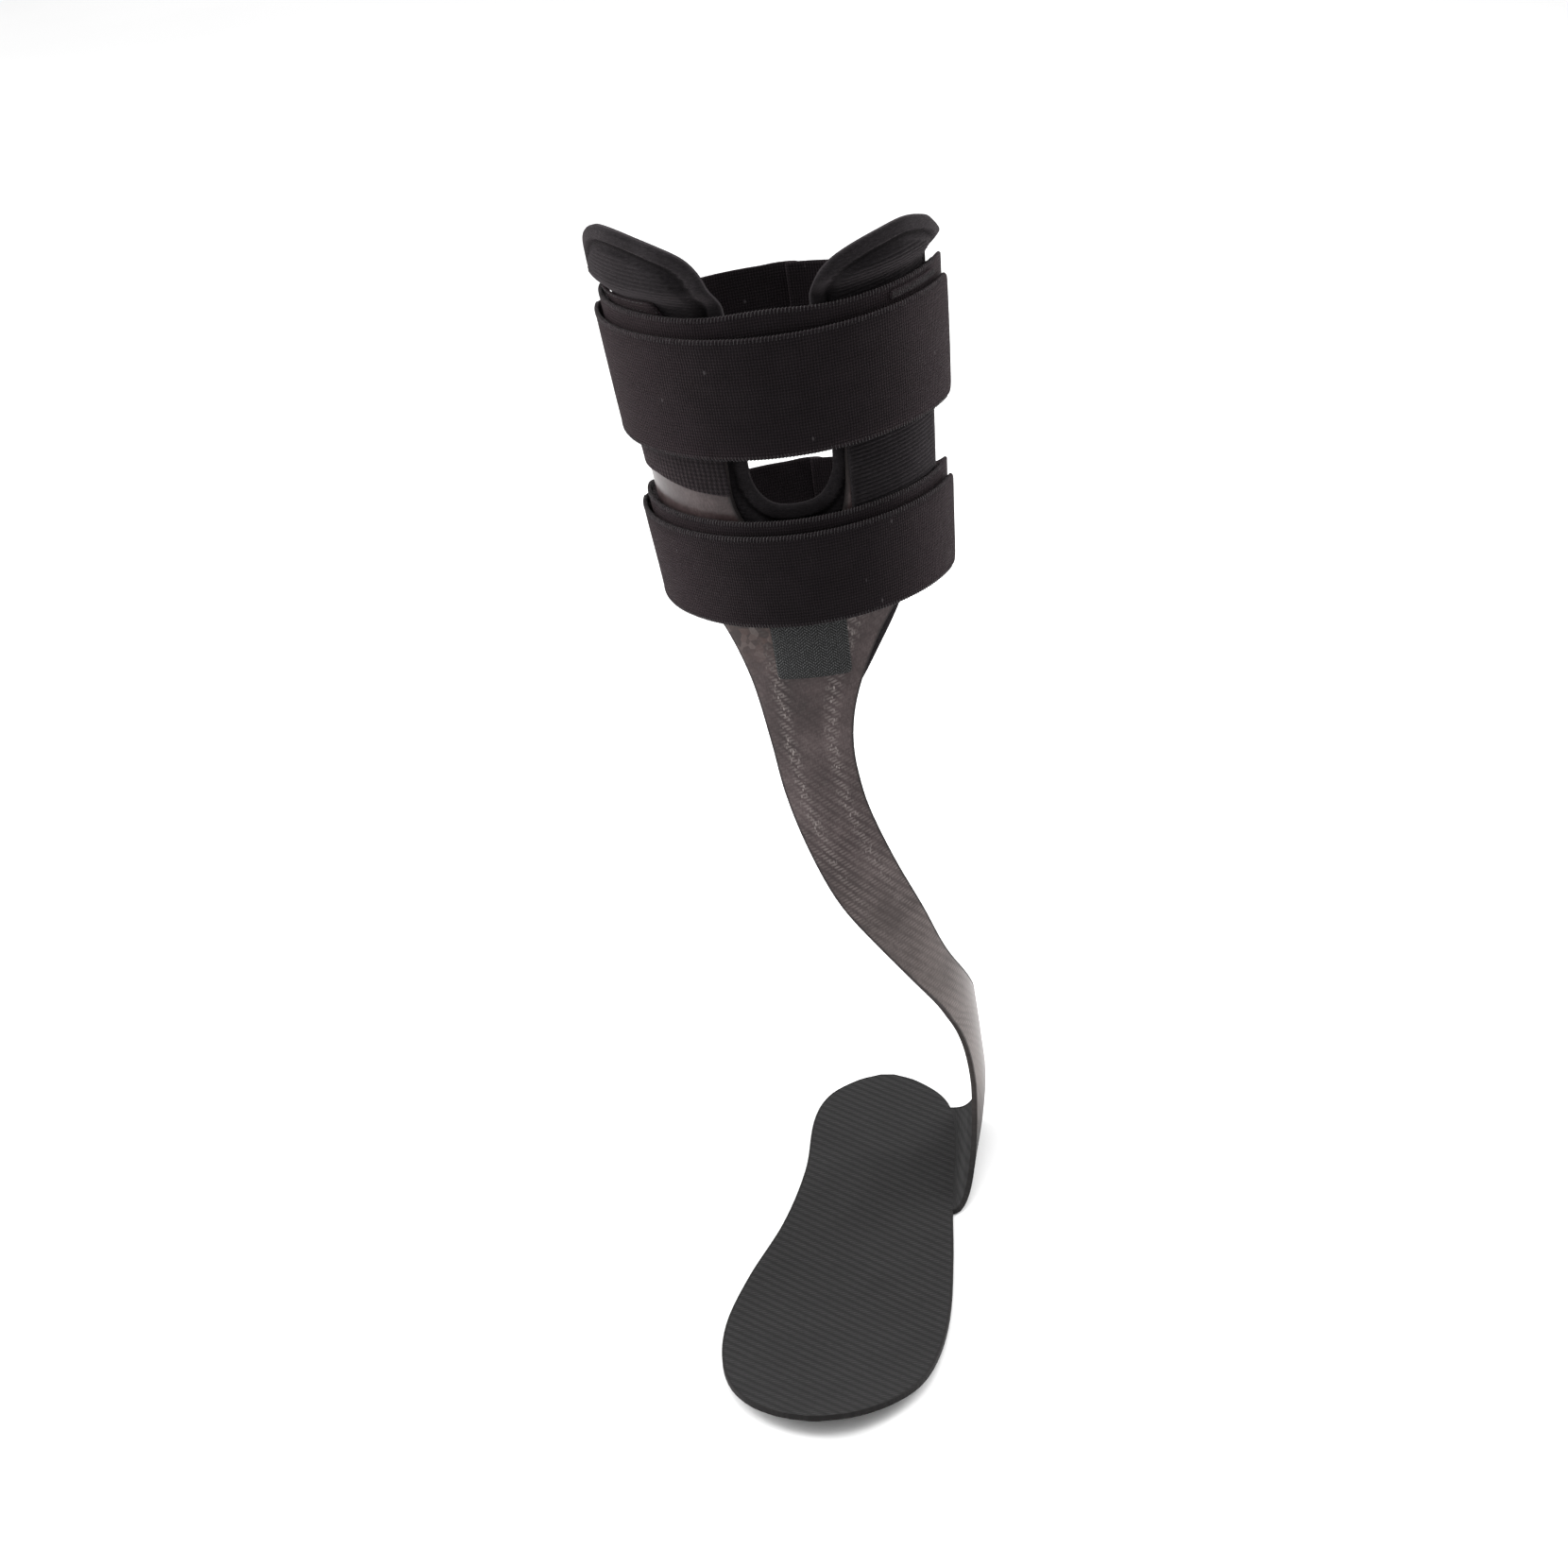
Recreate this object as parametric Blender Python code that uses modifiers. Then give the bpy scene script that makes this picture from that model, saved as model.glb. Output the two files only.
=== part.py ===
"""Ankle foot orthosis for a left leg: carbon foot plate and shin shell, padded liner, two wound straps.

Metres, +Z up, toes towards -Y, the outside of the leg towards +X.  The origin is on the sole, under
the shin's axis.  Every sheet of the cuff is a flat pattern, drawn as angle round the shin and height
up it, that is cut into cells, wrapped round the limb and thickened.
"""
import math

import bmesh
import bpy
from mathutils import Matrix, Vector

# The limb that the brace is shaped to
SHIN_FOOT = Vector((0.0, 0.0106, 0.1))
SHIN_AXIS = Vector((-0.0544, 0.0084, 1.0)).normalized()
HALF_WIDTH = ((0.03, 0.0350), (0.06, 0.0345), (0.09, 0.0335), (0.12, 0.0330), (0.16, 0.0345),
              (0.21, 0.0380), (0.28, 0.0440), (0.35, 0.0502), (0.41, 0.0545))
FRONT_DEPTH = ((0.03, 1.05), (0.12, 1.05), (0.20, 0.97), (0.28, 0.8875), (0.41, 0.8875))
METRES_PER_DEGREE = 0.00095

# Layers, as (distance from the limb, thickness)
LINER = (0.0000, 0.0050)
BACK_HOOK = (0.0053, 0.0010)
CARBON = (0.0066, 0.0022)
OUTER_PATCH = (0.0091, 0.0012)
STRAP_INNER = (0.0106, 0.0016)
STRAP_HOOK = (0.0125, 0.0008)
STRAP_OUTER = (0.0136, 0.0016)
WING_PATCH = (0.0064, 0.0008)
STRAP_TAB = (0.0125, 0.0007)

# Heights up the shin
UPPER_STRAP = {"low": 0.3250, "high": 0.3722, "inner_rise": 0.0070}
LOWER_STRAP = {"low": 0.2568, "high": 0.2938, "inner_rise": 0.0050}
STRAP_DIP = 0.0028
STRAP_REAR_DROP = 0.0140
FLARE_UNDER_STRAP = 0.0026
FLARE_ABOVE_STRAP = 0.0072
SHELL_TOP = 0.3685
LINER_TOP = 0.4125
SEAM_HALF_GAP_DEG = 0.35

# Ankle: where the carbon strut bends
ANKLE = Vector((0.040, 0.003, 0.085))
KNUCKLE_RADIUS = 0.024
KNUCKLE_GAP = 0.0006

# Foot plate
PLATE_THICKNESS = 0.0022
PLATE_HEEL_Y = 0.062
PLATE_TOE_Y = -0.195
PLATE_SPRING_START_Y = -0.095
PLATE_SPRING_RISE = 0.0070
STRUT_BASE_FRONT_Y = -0.046
STRUT_BASE_REAR_Y = 0.034


# ---------------------------------------------------------------- geometry helpers

def follow(value, points):
    """Cubic Hermite curve through (x, y) points, level beyond the ends."""
    xs = [p[0] for p in points]
    ys = [p[1] for p in points]
    last = len(xs) - 1
    value = min(max(value, xs[0]), xs[last])
    i = 0
    while i < last - 1 and value > xs[i + 1]:
        i += 1

    def slope(k):
        low, high = max(k - 1, 0), min(k + 1, last)
        return (ys[high] - ys[low]) / (xs[high] - xs[low])

    span = xs[i + 1] - xs[i]
    t = (value - xs[i]) / span
    return ((2 * t**3 - 3 * t**2 + 1) * ys[i] + (t**3 - 2 * t**2 + t) * span * slope(i)
            + (3 * t**2 - 2 * t**3) * ys[i + 1] + (t**3 - t**2) * span * slope(i + 1))


def limb_point(angle_deg, height, offset=0.0):
    """Point on the limb: 0 degrees is the front of the shin, +90 the outside, -90 the inside."""
    side = Vector((0, 1, 0)).cross(SHIN_AXIS).normalized()
    rearward = SHIN_AXIS.cross(side)
    wide = follow(height, HALF_WIDTH)
    turn = math.radians(angle_deg)
    deep = wide if math.cos(turn) < 0 else wide * follow(height, FRONT_DEPTH)
    outward = Vector((math.sin(turn) / wide, -math.cos(turn) / deep)).normalized()
    across = wide * math.sin(turn) + offset * outward.x
    along = -deep * math.cos(turn) + offset * outward.y
    up = SHIN_AXIS * ((height - SHIN_FOOT.z) / SHIN_AXIS.z)
    return SHIN_FOOT + up + side * across + rearward * along


def smooth_line(points, steps=6):
    """Catmull-Rom curve through 2-D points, both ends included."""
    ends = [points[0]] + list(points) + [points[-1]]
    line = []
    for a, b, c, d in zip(ends, ends[1:], ends[2:], ends[3:]):
        for k in range(steps):
            t = k / steps
            line.append(tuple(0.5 * (2 * b[i] + (c[i] - a[i]) * t
                                     + (2 * a[i] - 5 * b[i] + 4 * c[i] - d[i]) * t**2
                                     + (3 * b[i] - a[i] - 3 * c[i] + d[i]) * t**3) for i in (0, 1)))
    line.append(tuple(points[-1]))
    return line


def rounded(corners, radius, steps=4):
    """Closed outline in metres with every corner turned into an arc of the given radius."""
    outline = []
    for i, corner in enumerate(corners):
        here = Vector(corner)
        before = (Vector(corners[i - 1]) - here)
        after = (Vector(corners[(i + 1) % len(corners)]) - here)
        half = before.angle(after) / 2
        cut = min(radius / math.tan(half), 0.45 * before.length, 0.45 * after.length)
        start = here + before.normalized() * cut
        end = here + after.normalized() * cut
        for k in range(steps + 1):
            t = k / steps
            outline.append(tuple(start * (1 - t)**2 + here * 2 * t * (1 - t) + end * t**2))
    return outline


def flat(points):
    """Angle and height to the flat pattern's metres."""
    return [(angle * METRES_PER_DEGREE, height) for angle, height in points]


def rectangle(low_angle, high_angle, low, high, radius=0.003):
    corners = [(low_angle, low), (high_angle, low), (high_angle, high), (low_angle, high)]
    return rounded(flat(corners), radius)


# ---------------------------------------------------------------- objects

def clear_scene():
    for item in list(bpy.data.objects):
        bpy.data.objects.remove(item, do_unlink=True)


def new_collection(name):
    collection = bpy.data.collections.new(name)
    bpy.context.scene.collection.children.link(collection)
    return collection


def principled(name, color, roughness, metallic=0.0):
    material = bpy.data.materials.new(name)
    material.use_nodes = True
    shader = material.node_tree.nodes["Principled BSDF"]
    shader.inputs["Base Color"].default_value = (*color, 1.0)
    shader.inputs["Roughness"].default_value = roughness
    shader.inputs["Metallic"].default_value = metallic
    return material


def add_object(name, bm, material, thickness):
    """Mesh object whose open sheet is thickened evenly about its middle."""
    bmesh.ops.recalc_face_normals(bm, faces=bm.faces)
    mesh = bpy.data.meshes.new(name)
    bm.to_mesh(mesh)
    bm.free()
    mesh.materials.append(material)
    mesh.shade_smooth()
    item = bpy.data.objects.new(name, mesh)
    PARTS.objects.link(item)
    solid = item.modifiers.new("thickness", "SOLIDIFY")
    solid.thickness = thickness
    solid.offset = 0.0
    solid.use_even_offset = True
    return item


def cut_into_cells(bm, axis, step):
    """Slice a flat sheet across one axis at every whole step, so that it can bend."""
    values = [vert.co[axis] for vert in bm.verts]
    normal = Vector((0, 0, 0))
    normal[axis] = 1.0
    place = math.ceil(min(values) / step + 0.02) * step
    while place < max(values) - 0.02 * step:
        everything = list(bm.verts) + list(bm.edges) + list(bm.faces)
        bmesh.ops.bisect_plane(bm, geom=everything, dist=1e-6, plane_co=normal * place, plane_no=normal)
        place += step


def ease(value, low, high):
    """Smooth step from 0 at low to 1 at high."""
    t = min(max((value - low) / (high - low), 0.0), 1.0)
    return t * t * (3 - 2 * t)


def dipped(angle, height):
    """A strap hangs a little lower at the front of the shin than at its sides, and lower still behind."""
    turn = math.radians(angle)
    rise = STRAP_DIP * (math.sin(turn)**2 if math.cos(turn) > 0 else 1.0)
    from_front = abs((angle + 180) % 360 - 180)
    return height + rise - STRAP_REAR_DROP * ease(from_front, 82, 140)


def flare(height):
    """The liner's wings spring outwards above the shell, and again above the upper strap."""
    return (FLARE_UNDER_STRAP * ease(height, SHELL_TOP, SHELL_TOP + 0.0100)
            + FLARE_ABOVE_STRAP * ease(height, SHELL_TOP + 0.0125, SHELL_TOP + 0.0235))


def wrapped_sheet(name, outline, layer, material, cell=(0.0076, 0.012), ramp=None, course=None, spread=None):
    """Flat pattern cut into cells, wrapped round the limb at its layer, and thickened."""
    bm = bmesh.new()
    bm.faces.new([bm.verts.new((u, v, 0)) for u, v in outline])
    cut_into_cells(bm, 0, cell[0])
    cut_into_cells(bm, 1, cell[1])
    base, thickness = layer
    for vert in bm.verts:
        angle = vert.co.x / METRES_PER_DEGREE
        height = course(angle, vert.co.y) if course else vert.co.y
        lift = (ramp(angle) if ramp else 0.0) + (spread(height) if spread else 0.0)
        vert.co = limb_point(angle, height, base + thickness / 2 + lift)
    return add_object(name, bm, material, thickness)


# ---------------------------------------------------------------- outlines

def angle_on_strut(y, height):
    """Angle round the limb of a point on the outside of the carbon, given how far back it is."""
    middle = CARBON[0] + CARBON[1] / 2
    low, high = 0.0, 180.0
    for _ in range(40):
        angle = (low + high) / 2
        if limb_point(angle, height, middle).y < y:
            low = angle
        else:
            high = angle
    return angle


def knuckle_arc(radius, from_deg, to_deg, steps=10):
    """The strut's rounded end, seen from the side, as angle and height; 0 degrees is straight down."""
    arc = []
    for k in range(steps + 1):
        turn = math.radians(from_deg + (to_deg - from_deg) * k / steps)
        y = ANKLE.y + radius * math.sin(turn)
        world_z = ANKLE.z - radius * math.cos(turn)
        height = world_z
        for _ in range(6):
            angle = angle_on_strut(y, height)
            height += world_z - limb_point(angle, height, CARBON[0] + CARBON[1] / 2).z
        arc.append((angle, height))
    return arc


def shell_outline():
    """Fan with two wings and a notch between them, narrowing to the strut that crosses to the outside."""
    inner_edge = smooth_line([(-84, 0.340), (-82, 0.308), (-70, 0.284), (-52, 0.267), (-37, 0.2545),
                              (-27, 0.2335),
                              (-22.5, 0.208), (-19.5, 0.184), (-12.4, 0.161), (0, 0.136), (18.5, 0.1135),
                              (39, 0.0915), (49, 0.0785)])
    outer_edge = smooth_line([(96, 0.0760), (88, 0.0845), (75, 0.0975), (54, 0.1245), (36, 0.149),
                              (23.5, 0.173), (18.2, 0.2),
                              (20, 0.2125), (27, 0.230), (38, 0.2475), (53, 0.262), (70, 0.281), (80, 0.305),
                              (83, 0.340)])
    knuckle = knuckle_arc(KNUCKLE_RADIUS - KNUCKLE_GAP / 2, -47, 47)
    outer_wing = smooth_line([(83, 0.340), (81, 0.358), (70, SHELL_TOP), (55, SHELL_TOP),
                              (40, 0.3665), (33, 0.359), (30, 0.345), (29.3, 0.325), (27.8, 0.3065),
                              (24, 0.2955),
                              (15, 0.2895), (4.5, 0.2880), (-6, 0.2895), (-15, 0.2955), (-19.5, 0.3065),
                              (-19, 0.325), (-20, 0.345), (-23, 0.359), (-30, 0.3665), (-45, SHELL_TOP),
                              (-70, SHELL_TOP), (-82, 0.358), (-84, 0.340)])
    return flat(inner_edge + knuckle + outer_edge[:-1] + outer_wing[:-1])


def liner_outline():
    inner_edge = smooth_line([(-92, 0.365), (-91, 0.310), (-76, 0.276), (-53, 0.258), (-33, 0.2465),
                              (-17, 0.235),
                              (-2, 0.2245), (14, 0.2195), (25, 0.2235), (42, 0.240), (57, 0.2545),
                              (76, 0.275),
                              (89, 0.305), (92, 0.350), (92, 0.372)])
    outer_wing = smooth_line([(92, 0.372), (90.5, 0.3845), (86, 0.3905), (80, 0.3955), (72, 0.4005),
                              (60, 0.4035), (48, 0.4025), (36, 0.3995), (27.5, 0.3950), (23, 0.3880),
                              (22.3, 0.372),
                              (25.3, 0.345), (25.3, 0.3205), (23.5, 0.3110), (17, 0.3040), (6, 0.3020),
                              (-4.5, 0.3035), (-11, 0.3100), (-12.5, 0.3200), (-11, 0.345), (-10, 0.372),
                              (-12, 0.390), (-17.5, 0.4010), (-28, 0.4070), (-43, 0.4115),
                              (-56, LINER_TOP), (-65, 0.4098), (-72, 0.4058), (-79, 0.3998), (-85, 0.3920),
                              (-90, 0.3810), (-92, 0.365)])
    return flat(inner_edge[:-1] + outer_wing[:-1])


# ---------------------------------------------------------------- sub-parts

def shin_shell():
    wrapped_sheet("shin_shell", shell_outline(), CARBON, CARBON_WEAVE)


def liner_pad():
    wrapped_sheet("liner_pad", liner_outline(), LINER, LINER_TEXTILE, cell=(0.0095, 0.0035),
                  spread=flare)


def back_hooks():
    """Hook patches stuck inside the shell, which hold the removable liner."""
    for name, low, high in (("liner_hook_medial", -62, -34), ("liner_hook_lateral", 36, 64)):
        wrapped_sheet(name, rectangle(low, high, 0.318, 0.343), BACK_HOOK, HOOK_TAPE, cell=(0.0076, 0.03))
    lower = rectangle(-12, 18, 0.262, 0.286)
    wrapped_sheet("liner_hook_lower", lower, BACK_HOOK, HOOK_TAPE, cell=(0.0076, 0.03))


def shell_coverings():
    """What is stuck on the outside of the shell: ribbed panel, loop panel and the hook patch on the neck."""
    rib = rounded(flat([(30.2, 0.2905), (53, 0.2885), (76, 0.2870), (79, 0.300), (79, 0.352),
                        (30.4, 0.352)]), 0.003)
    wrapped_sheet("rib_panel_lateral", rib, OUTER_PATCH, LINER_TEXTILE, cell=(0.0076, 0.02))
    loop = rounded(flat([(-78, 0.3130), (-58, 0.3135), (-36, 0.3100), (-19.8, 0.3085), (-20.4, 0.352),
                         (-78, 0.352)]), 0.002)
    wrapped_sheet("loop_panel_medial", loop, OUTER_PATCH, LOOP_FLEECE, cell=(0.0076, 0.02))
    patch = rectangle(-12, 21.5, 0.2333, 0.2890, radius=0.0025)
    wrapped_sheet("neck_hook_patch", patch, OUTER_PATCH, HOOK_TAPE, cell=(0.0076, 0.02))


def sewn_tabs():
    """Reinforcement sewn to the liner's inner wing, and one sewn to the upper strap's inner layer."""
    medial = rounded(flat([(-76, 0.3705), (-33, 0.3705), (-33, 0.3775), (-37, 0.3848), (-76, 0.3848)]), 0.002)
    wrapped_sheet("stitched_tab_medial", medial, WING_PATCH, STRAP_KNIT, cell=(0.0076, 0.005), spread=flare)
    lateral = rectangle(50, 76, 0.3735, 0.3768, radius=0.001)
    wrapped_sheet("stitched_tab_lateral", lateral, STRAP_TAB, STRAP_KNIT, cell=(0.0076, 0.03), course=dipped)


def strap(prefix, low, high, inner_rise):
    """One elastic band wound round the limb: across the front, round the back, and over the front again."""
    climb = STRAP_OUTER[0] - STRAP_INNER[0]
    row = (0.0076, 0.03)
    inner = rectangle(-95, 90 - SEAM_HALF_GAP_DEG, low + inner_rise, high + inner_rise, radius=0.001)
    wrapped_sheet(prefix + "_strap_inner", inner, STRAP_INNER, STRAP_KNIT, cell=row, course=dipped)

    def rise(angle):
        t = min(max((angle - 95) / 165, 0.0), 1.0)
        return climb * t * t * (3 - 2 * t)

    shift = inner_rise / 2
    rear = rectangle(90 + SEAM_HALF_GAP_DEG, 270 - SEAM_HALF_GAP_DEG, low + shift, high + shift, radius=0.001)
    wrapped_sheet(prefix + "_strap_rear", rear, STRAP_INNER, STRAP_KNIT, cell=row, ramp=rise, course=dipped)
    flap = rectangle(-90 + SEAM_HALF_GAP_DEG, 87, low, high, radius=0.005)
    wrapped_sheet(prefix + "_strap_flap", flap, STRAP_OUTER, STRAP_KNIT, cell=row, course=dipped)
    hook = rectangle(60, 85, low + 0.005, high - 0.004, radius=0.003)
    wrapped_sheet(prefix + "_strap_hook", hook, STRAP_HOOK, HOOK_TAPE, cell=row, course=dipped)


def plate_edges(y):
    """Inner and outer edge of the foot plate at a place along the foot."""
    inner = follow(y, ((PLATE_TOE_Y, -0.004), (-0.1925, -0.0145), (-0.184, -0.0275), (-0.1700, -0.0372),
                       (-0.150, -0.0430), (-0.125, -0.0445), (-0.095, -0.0405), (-0.055, -0.0315),
                       (-0.015, -0.0275), (0.025, -0.0285), (0.045, -0.0240), (0.0575, -0.0130),
                       (PLATE_HEEL_Y, -0.004)))
    outer = follow(y, ((PLATE_TOE_Y, 0.000), (-0.1925, 0.0105), (-0.184, 0.0235), (-0.1700, 0.0340),
                       (-0.150, 0.0395), (-0.120, 0.0415), (-0.080, 0.0395), (-0.040, 0.0360),
                       (0.000, 0.0335), (0.030, 0.0300), (0.045, 0.0235), (0.0575, 0.0110),
                       (PLATE_HEEL_Y, 0.002)))
    return inner, outer


def plate_height(y):
    """Middle of the plate's thickness: level under the foot, sprung up at the toes."""
    t = max((PLATE_SPRING_START_Y - y) / (PLATE_SPRING_START_Y - PLATE_TOE_Y), 0.0)
    return PLATE_THICKNESS / 2 + PLATE_SPRING_RISE * t * t


def plate_stations():
    """Rows along the foot: fine at the round toe and heel, and one for each strand of the strut."""
    toe = [PLATE_TOE_Y, -0.1925, -0.188, -0.182, -0.174, -0.163]
    middle = [-0.150 + 0.013 * k for k in range(8)]
    strut = [STRUT_BASE_FRONT_Y + (STRUT_BASE_REAR_Y - STRUT_BASE_FRONT_Y) * k / 10 for k in range(11)]
    heel = [0.042, 0.049, 0.055, 0.0590, PLATE_HEEL_Y]
    return toe + middle + strut + heel


def strut_strand(share):
    """Points up one strand of the strut, from the plate's edge to the knuckle; share runs front to rear."""
    middle = CARBON[0] + CARBON[1] / 2
    turn = -47 + 94 * share
    top_angle, top_height = knuckle_arc(KNUCKLE_RADIUS + KNUCKLE_GAP / 2, turn, turn, 1)[0]
    low_angle = 68 + 38 * share
    low_height = 0.034
    y = STRUT_BASE_FRONT_Y + (STRUT_BASE_REAR_Y - STRUT_BASE_FRONT_Y) * share
    foot = Vector((plate_edges(y)[1], y, plate_height(y)))
    landing = limb_point(low_angle, low_height, middle)
    handles = (foot, foot + Vector((0.0085, 0, 0)), landing - Vector((0, 0, 0.022)), landing)
    strand = []
    for k in range(1, 8):
        t = k / 7
        weights = ((1 - t)**3, 3 * t * (1 - t)**2, 3 * t**2 * (1 - t), t**3)
        strand.append(sum((h * w for h, w in zip(handles, weights)), Vector()))
    for k in range(1, 5):
        t = k / 4
        angle = low_angle + (top_angle - low_angle) * t
        height = low_height + (top_height - low_height) * t
        strand.append(limb_point(angle, height, middle))
    return strand


def foot_plate():
    """Level plate with sprung toes, and the lower end of the strut growing out of its outer edge."""
    columns = 10
    bm = bmesh.new()
    rows = []
    stations = plate_stations()
    for y in stations:
        inner, outer = plate_edges(y)
        rows.append([bm.verts.new((inner + (outer - inner) * k / columns, y, plate_height(y)))
                     for k in range(columns + 1)])
    first = stations.index(STRUT_BASE_FRONT_Y)
    for k in range(11):
        rows[first + k] += [bm.verts.new(point) for point in strut_strand(k / 10)]
    for row, following in zip(rows, rows[1:]):
        shared = min(len(row), len(following))
        for k in range(shared - 1):
            bm.faces.new((row[k], row[k + 1], following[k + 1], following[k]))
    add_object("foot_plate", bm, CARBON_WEAVE, PLATE_THICKNESS)


# ---------------------------------------------------------------- joint axes

def hinge_empty(name, low_point, high_point, children):
    """Empty on a hinge line, its Z along the line, that carries the pieces which turn there."""
    turn = (high_point - low_point).to_track_quat("Z", "Y").to_matrix().to_4x4()
    place = Matrix.Translation((low_point + high_point) / 2) @ turn
    empty = bpy.data.objects.new(name, None)
    PARTS.objects.link(empty)
    empty.matrix_world = place
    for child in children:
        child.parent = empty
        child.matrix_parent_inverse = place.inverted()
    return empty


def strap_hinges(prefix, low, high, inner_rise):
    """The strap's rear part swings at the outside of the shin, and its flap peels at the inside."""
    def seam(angle, height, layer):
        return limb_point(angle, dipped(angle, height), layer[0] + layer[1])

    flap = [PARTS.objects[prefix + "_strap_flap"], PARTS.objects[prefix + "_strap_hook"]]
    at_inside = inner_rise / 4
    peel = hinge_empty(prefix + "_strap_peel_axis", seam(-90, low + at_inside, STRAP_OUTER),
                       seam(-90, high + at_inside, STRAP_OUTER), flap)
    at_outside = inner_rise / 2
    rear = PARTS.objects[prefix + "_strap_rear"]
    return hinge_empty(prefix + "_strap_swing_axis", seam(90, low + at_outside, STRAP_INNER),
                       seam(90, high + at_outside, STRAP_INNER), [rear, peel])


def ankle_hinge(strap_axes):
    """Everything above the knuckle turns about a line across the ankle."""
    half_line = Vector((KNUCKLE_RADIUS, 0, 0))
    above = [item for item in PARTS.objects
             if item.type == "MESH" and item.parent is None and item.name != "foot_plate"]
    hinge_empty("ankle_axis", ANKLE - half_line, ANKLE + half_line, above + strap_axes)


clear_scene()
PARTS = new_collection("ankle_foot_orthosis")
CARBON_WEAVE = principled("carbon_weave", (0.030, 0.028, 0.029), 0.30, 0.1)
LINER_TEXTILE = principled("liner_textile", (0.045, 0.042, 0.046), 0.85)
STRAP_KNIT = principled("strap_knit", (0.020, 0.016, 0.018), 0.90)
HOOK_TAPE = principled("hook_tape", (0.040, 0.040, 0.042), 0.70)
LOOP_FLEECE = principled("loop_fleece", (0.030, 0.026, 0.028), 0.95)
foot_plate()
shin_shell()
liner_pad()
back_hooks()
shell_coverings()
sewn_tabs()
strap("upper", **UPPER_STRAP)
strap("lower", **LOWER_STRAP)
ankle_hinge([strap_hinges("upper", **UPPER_STRAP), strap_hinges("lower", **LOWER_STRAP)])
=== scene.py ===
"""Looks of the ankle foot orthosis: one carbon frame, a welded foam liner, and two wound knitted straps.

Metres, +Z up, toes towards -Y, the outside of the leg towards +X, as in the frame.  Soft pieces are
flat patterns (metres round the shin, metres up it) that are cut into cells, given a thickness profile
and wrapped round the limb.
"""
import math

import bmesh
import bpy
import numpy as np
from mathutils import Matrix, Vector, noise


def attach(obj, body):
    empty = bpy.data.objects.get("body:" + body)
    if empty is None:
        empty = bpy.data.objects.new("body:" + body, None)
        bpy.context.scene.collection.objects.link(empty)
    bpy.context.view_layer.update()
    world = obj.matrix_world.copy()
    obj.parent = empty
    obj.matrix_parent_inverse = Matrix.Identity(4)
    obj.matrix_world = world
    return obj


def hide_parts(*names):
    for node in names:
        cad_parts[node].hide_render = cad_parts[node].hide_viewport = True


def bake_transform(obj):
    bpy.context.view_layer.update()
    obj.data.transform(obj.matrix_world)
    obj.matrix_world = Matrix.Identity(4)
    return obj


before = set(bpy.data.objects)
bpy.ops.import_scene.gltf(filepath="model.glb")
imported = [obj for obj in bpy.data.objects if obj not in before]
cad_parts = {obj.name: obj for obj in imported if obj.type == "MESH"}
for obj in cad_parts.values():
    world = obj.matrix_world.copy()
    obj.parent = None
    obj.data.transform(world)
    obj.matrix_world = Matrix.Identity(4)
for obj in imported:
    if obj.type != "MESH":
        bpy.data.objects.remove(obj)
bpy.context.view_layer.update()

# The limb that the brace is shaped to
SHIN_FOOT = np.array((0.0, 0.0106, 0.1))
SHIN_AXIS = np.array((-0.0544, 0.0084, 1.0)) / np.linalg.norm((-0.0544, 0.0084, 1.0))
HALF_WIDTH = ((0.03, 0.0350), (0.06, 0.0345), (0.09, 0.0335), (0.12, 0.0330), (0.16, 0.0345),
              (0.21, 0.0380), (0.28, 0.0440), (0.35, 0.0502), (0.41, 0.0545))
FRONT_DEPTH = ((0.03, 1.05), (0.12, 1.05), (0.20, 0.97), (0.28, 0.8875), (0.41, 0.8875))
METRES_PER_DEGREE = 0.00095

# Layers, as (distance from the limb, thickness)
CARBON = (0.0066, 0.0022)
OUTER_PATCH = (0.0091, 0.0012)
BACK_HOOK = (0.0053, 0.0010)
STRAP_INNER = (0.0106, 0.0016)
STRAP_HOOK = (0.0125, 0.0008)
STRAP_OUTER = (0.0136, 0.0016)
WING_PATCH = (0.0051, 0.0013)
STRAP_TAB = (0.0125, 0.0007)

UPPER_STRAP = {"low": 0.3250, "high": 0.3722, "inner_rise": 0.0070}
LOWER_STRAP = {"low": 0.2568, "high": 0.2938, "inner_rise": 0.0050}
STRAP_DIP = 0.0028
STRAP_REAR_DROP = 0.0140
FLARE_UNDER_STRAP = 0.0026
FLARE_ABOVE_STRAP = 0.0072
SHELL_TOP = 0.3685
LINER_TOP = 0.4125

PLATE_THICKNESS = 0.0022
PLATE_HEEL_Y = 0.062
PLATE_TOE_Y = -0.195
PLATE_SPRING_START_Y = -0.095
PLATE_SPRING_RISE = 0.0070
STRUT_BASE_FRONT_Y = -0.046
STRUT_BASE_REAR_Y = 0.034
STRUT_JOIN_HEIGHT = 0.070
STRUT_LANDING_HEIGHT = 0.034
STRUT_PATTERN_LENGTH = 0.075
STRUT_TOP_LEAN = -850.0
STRUT_FOOT_LEAN = 60.0


# ---------------------------------------------------------------- curves and the limb

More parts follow.
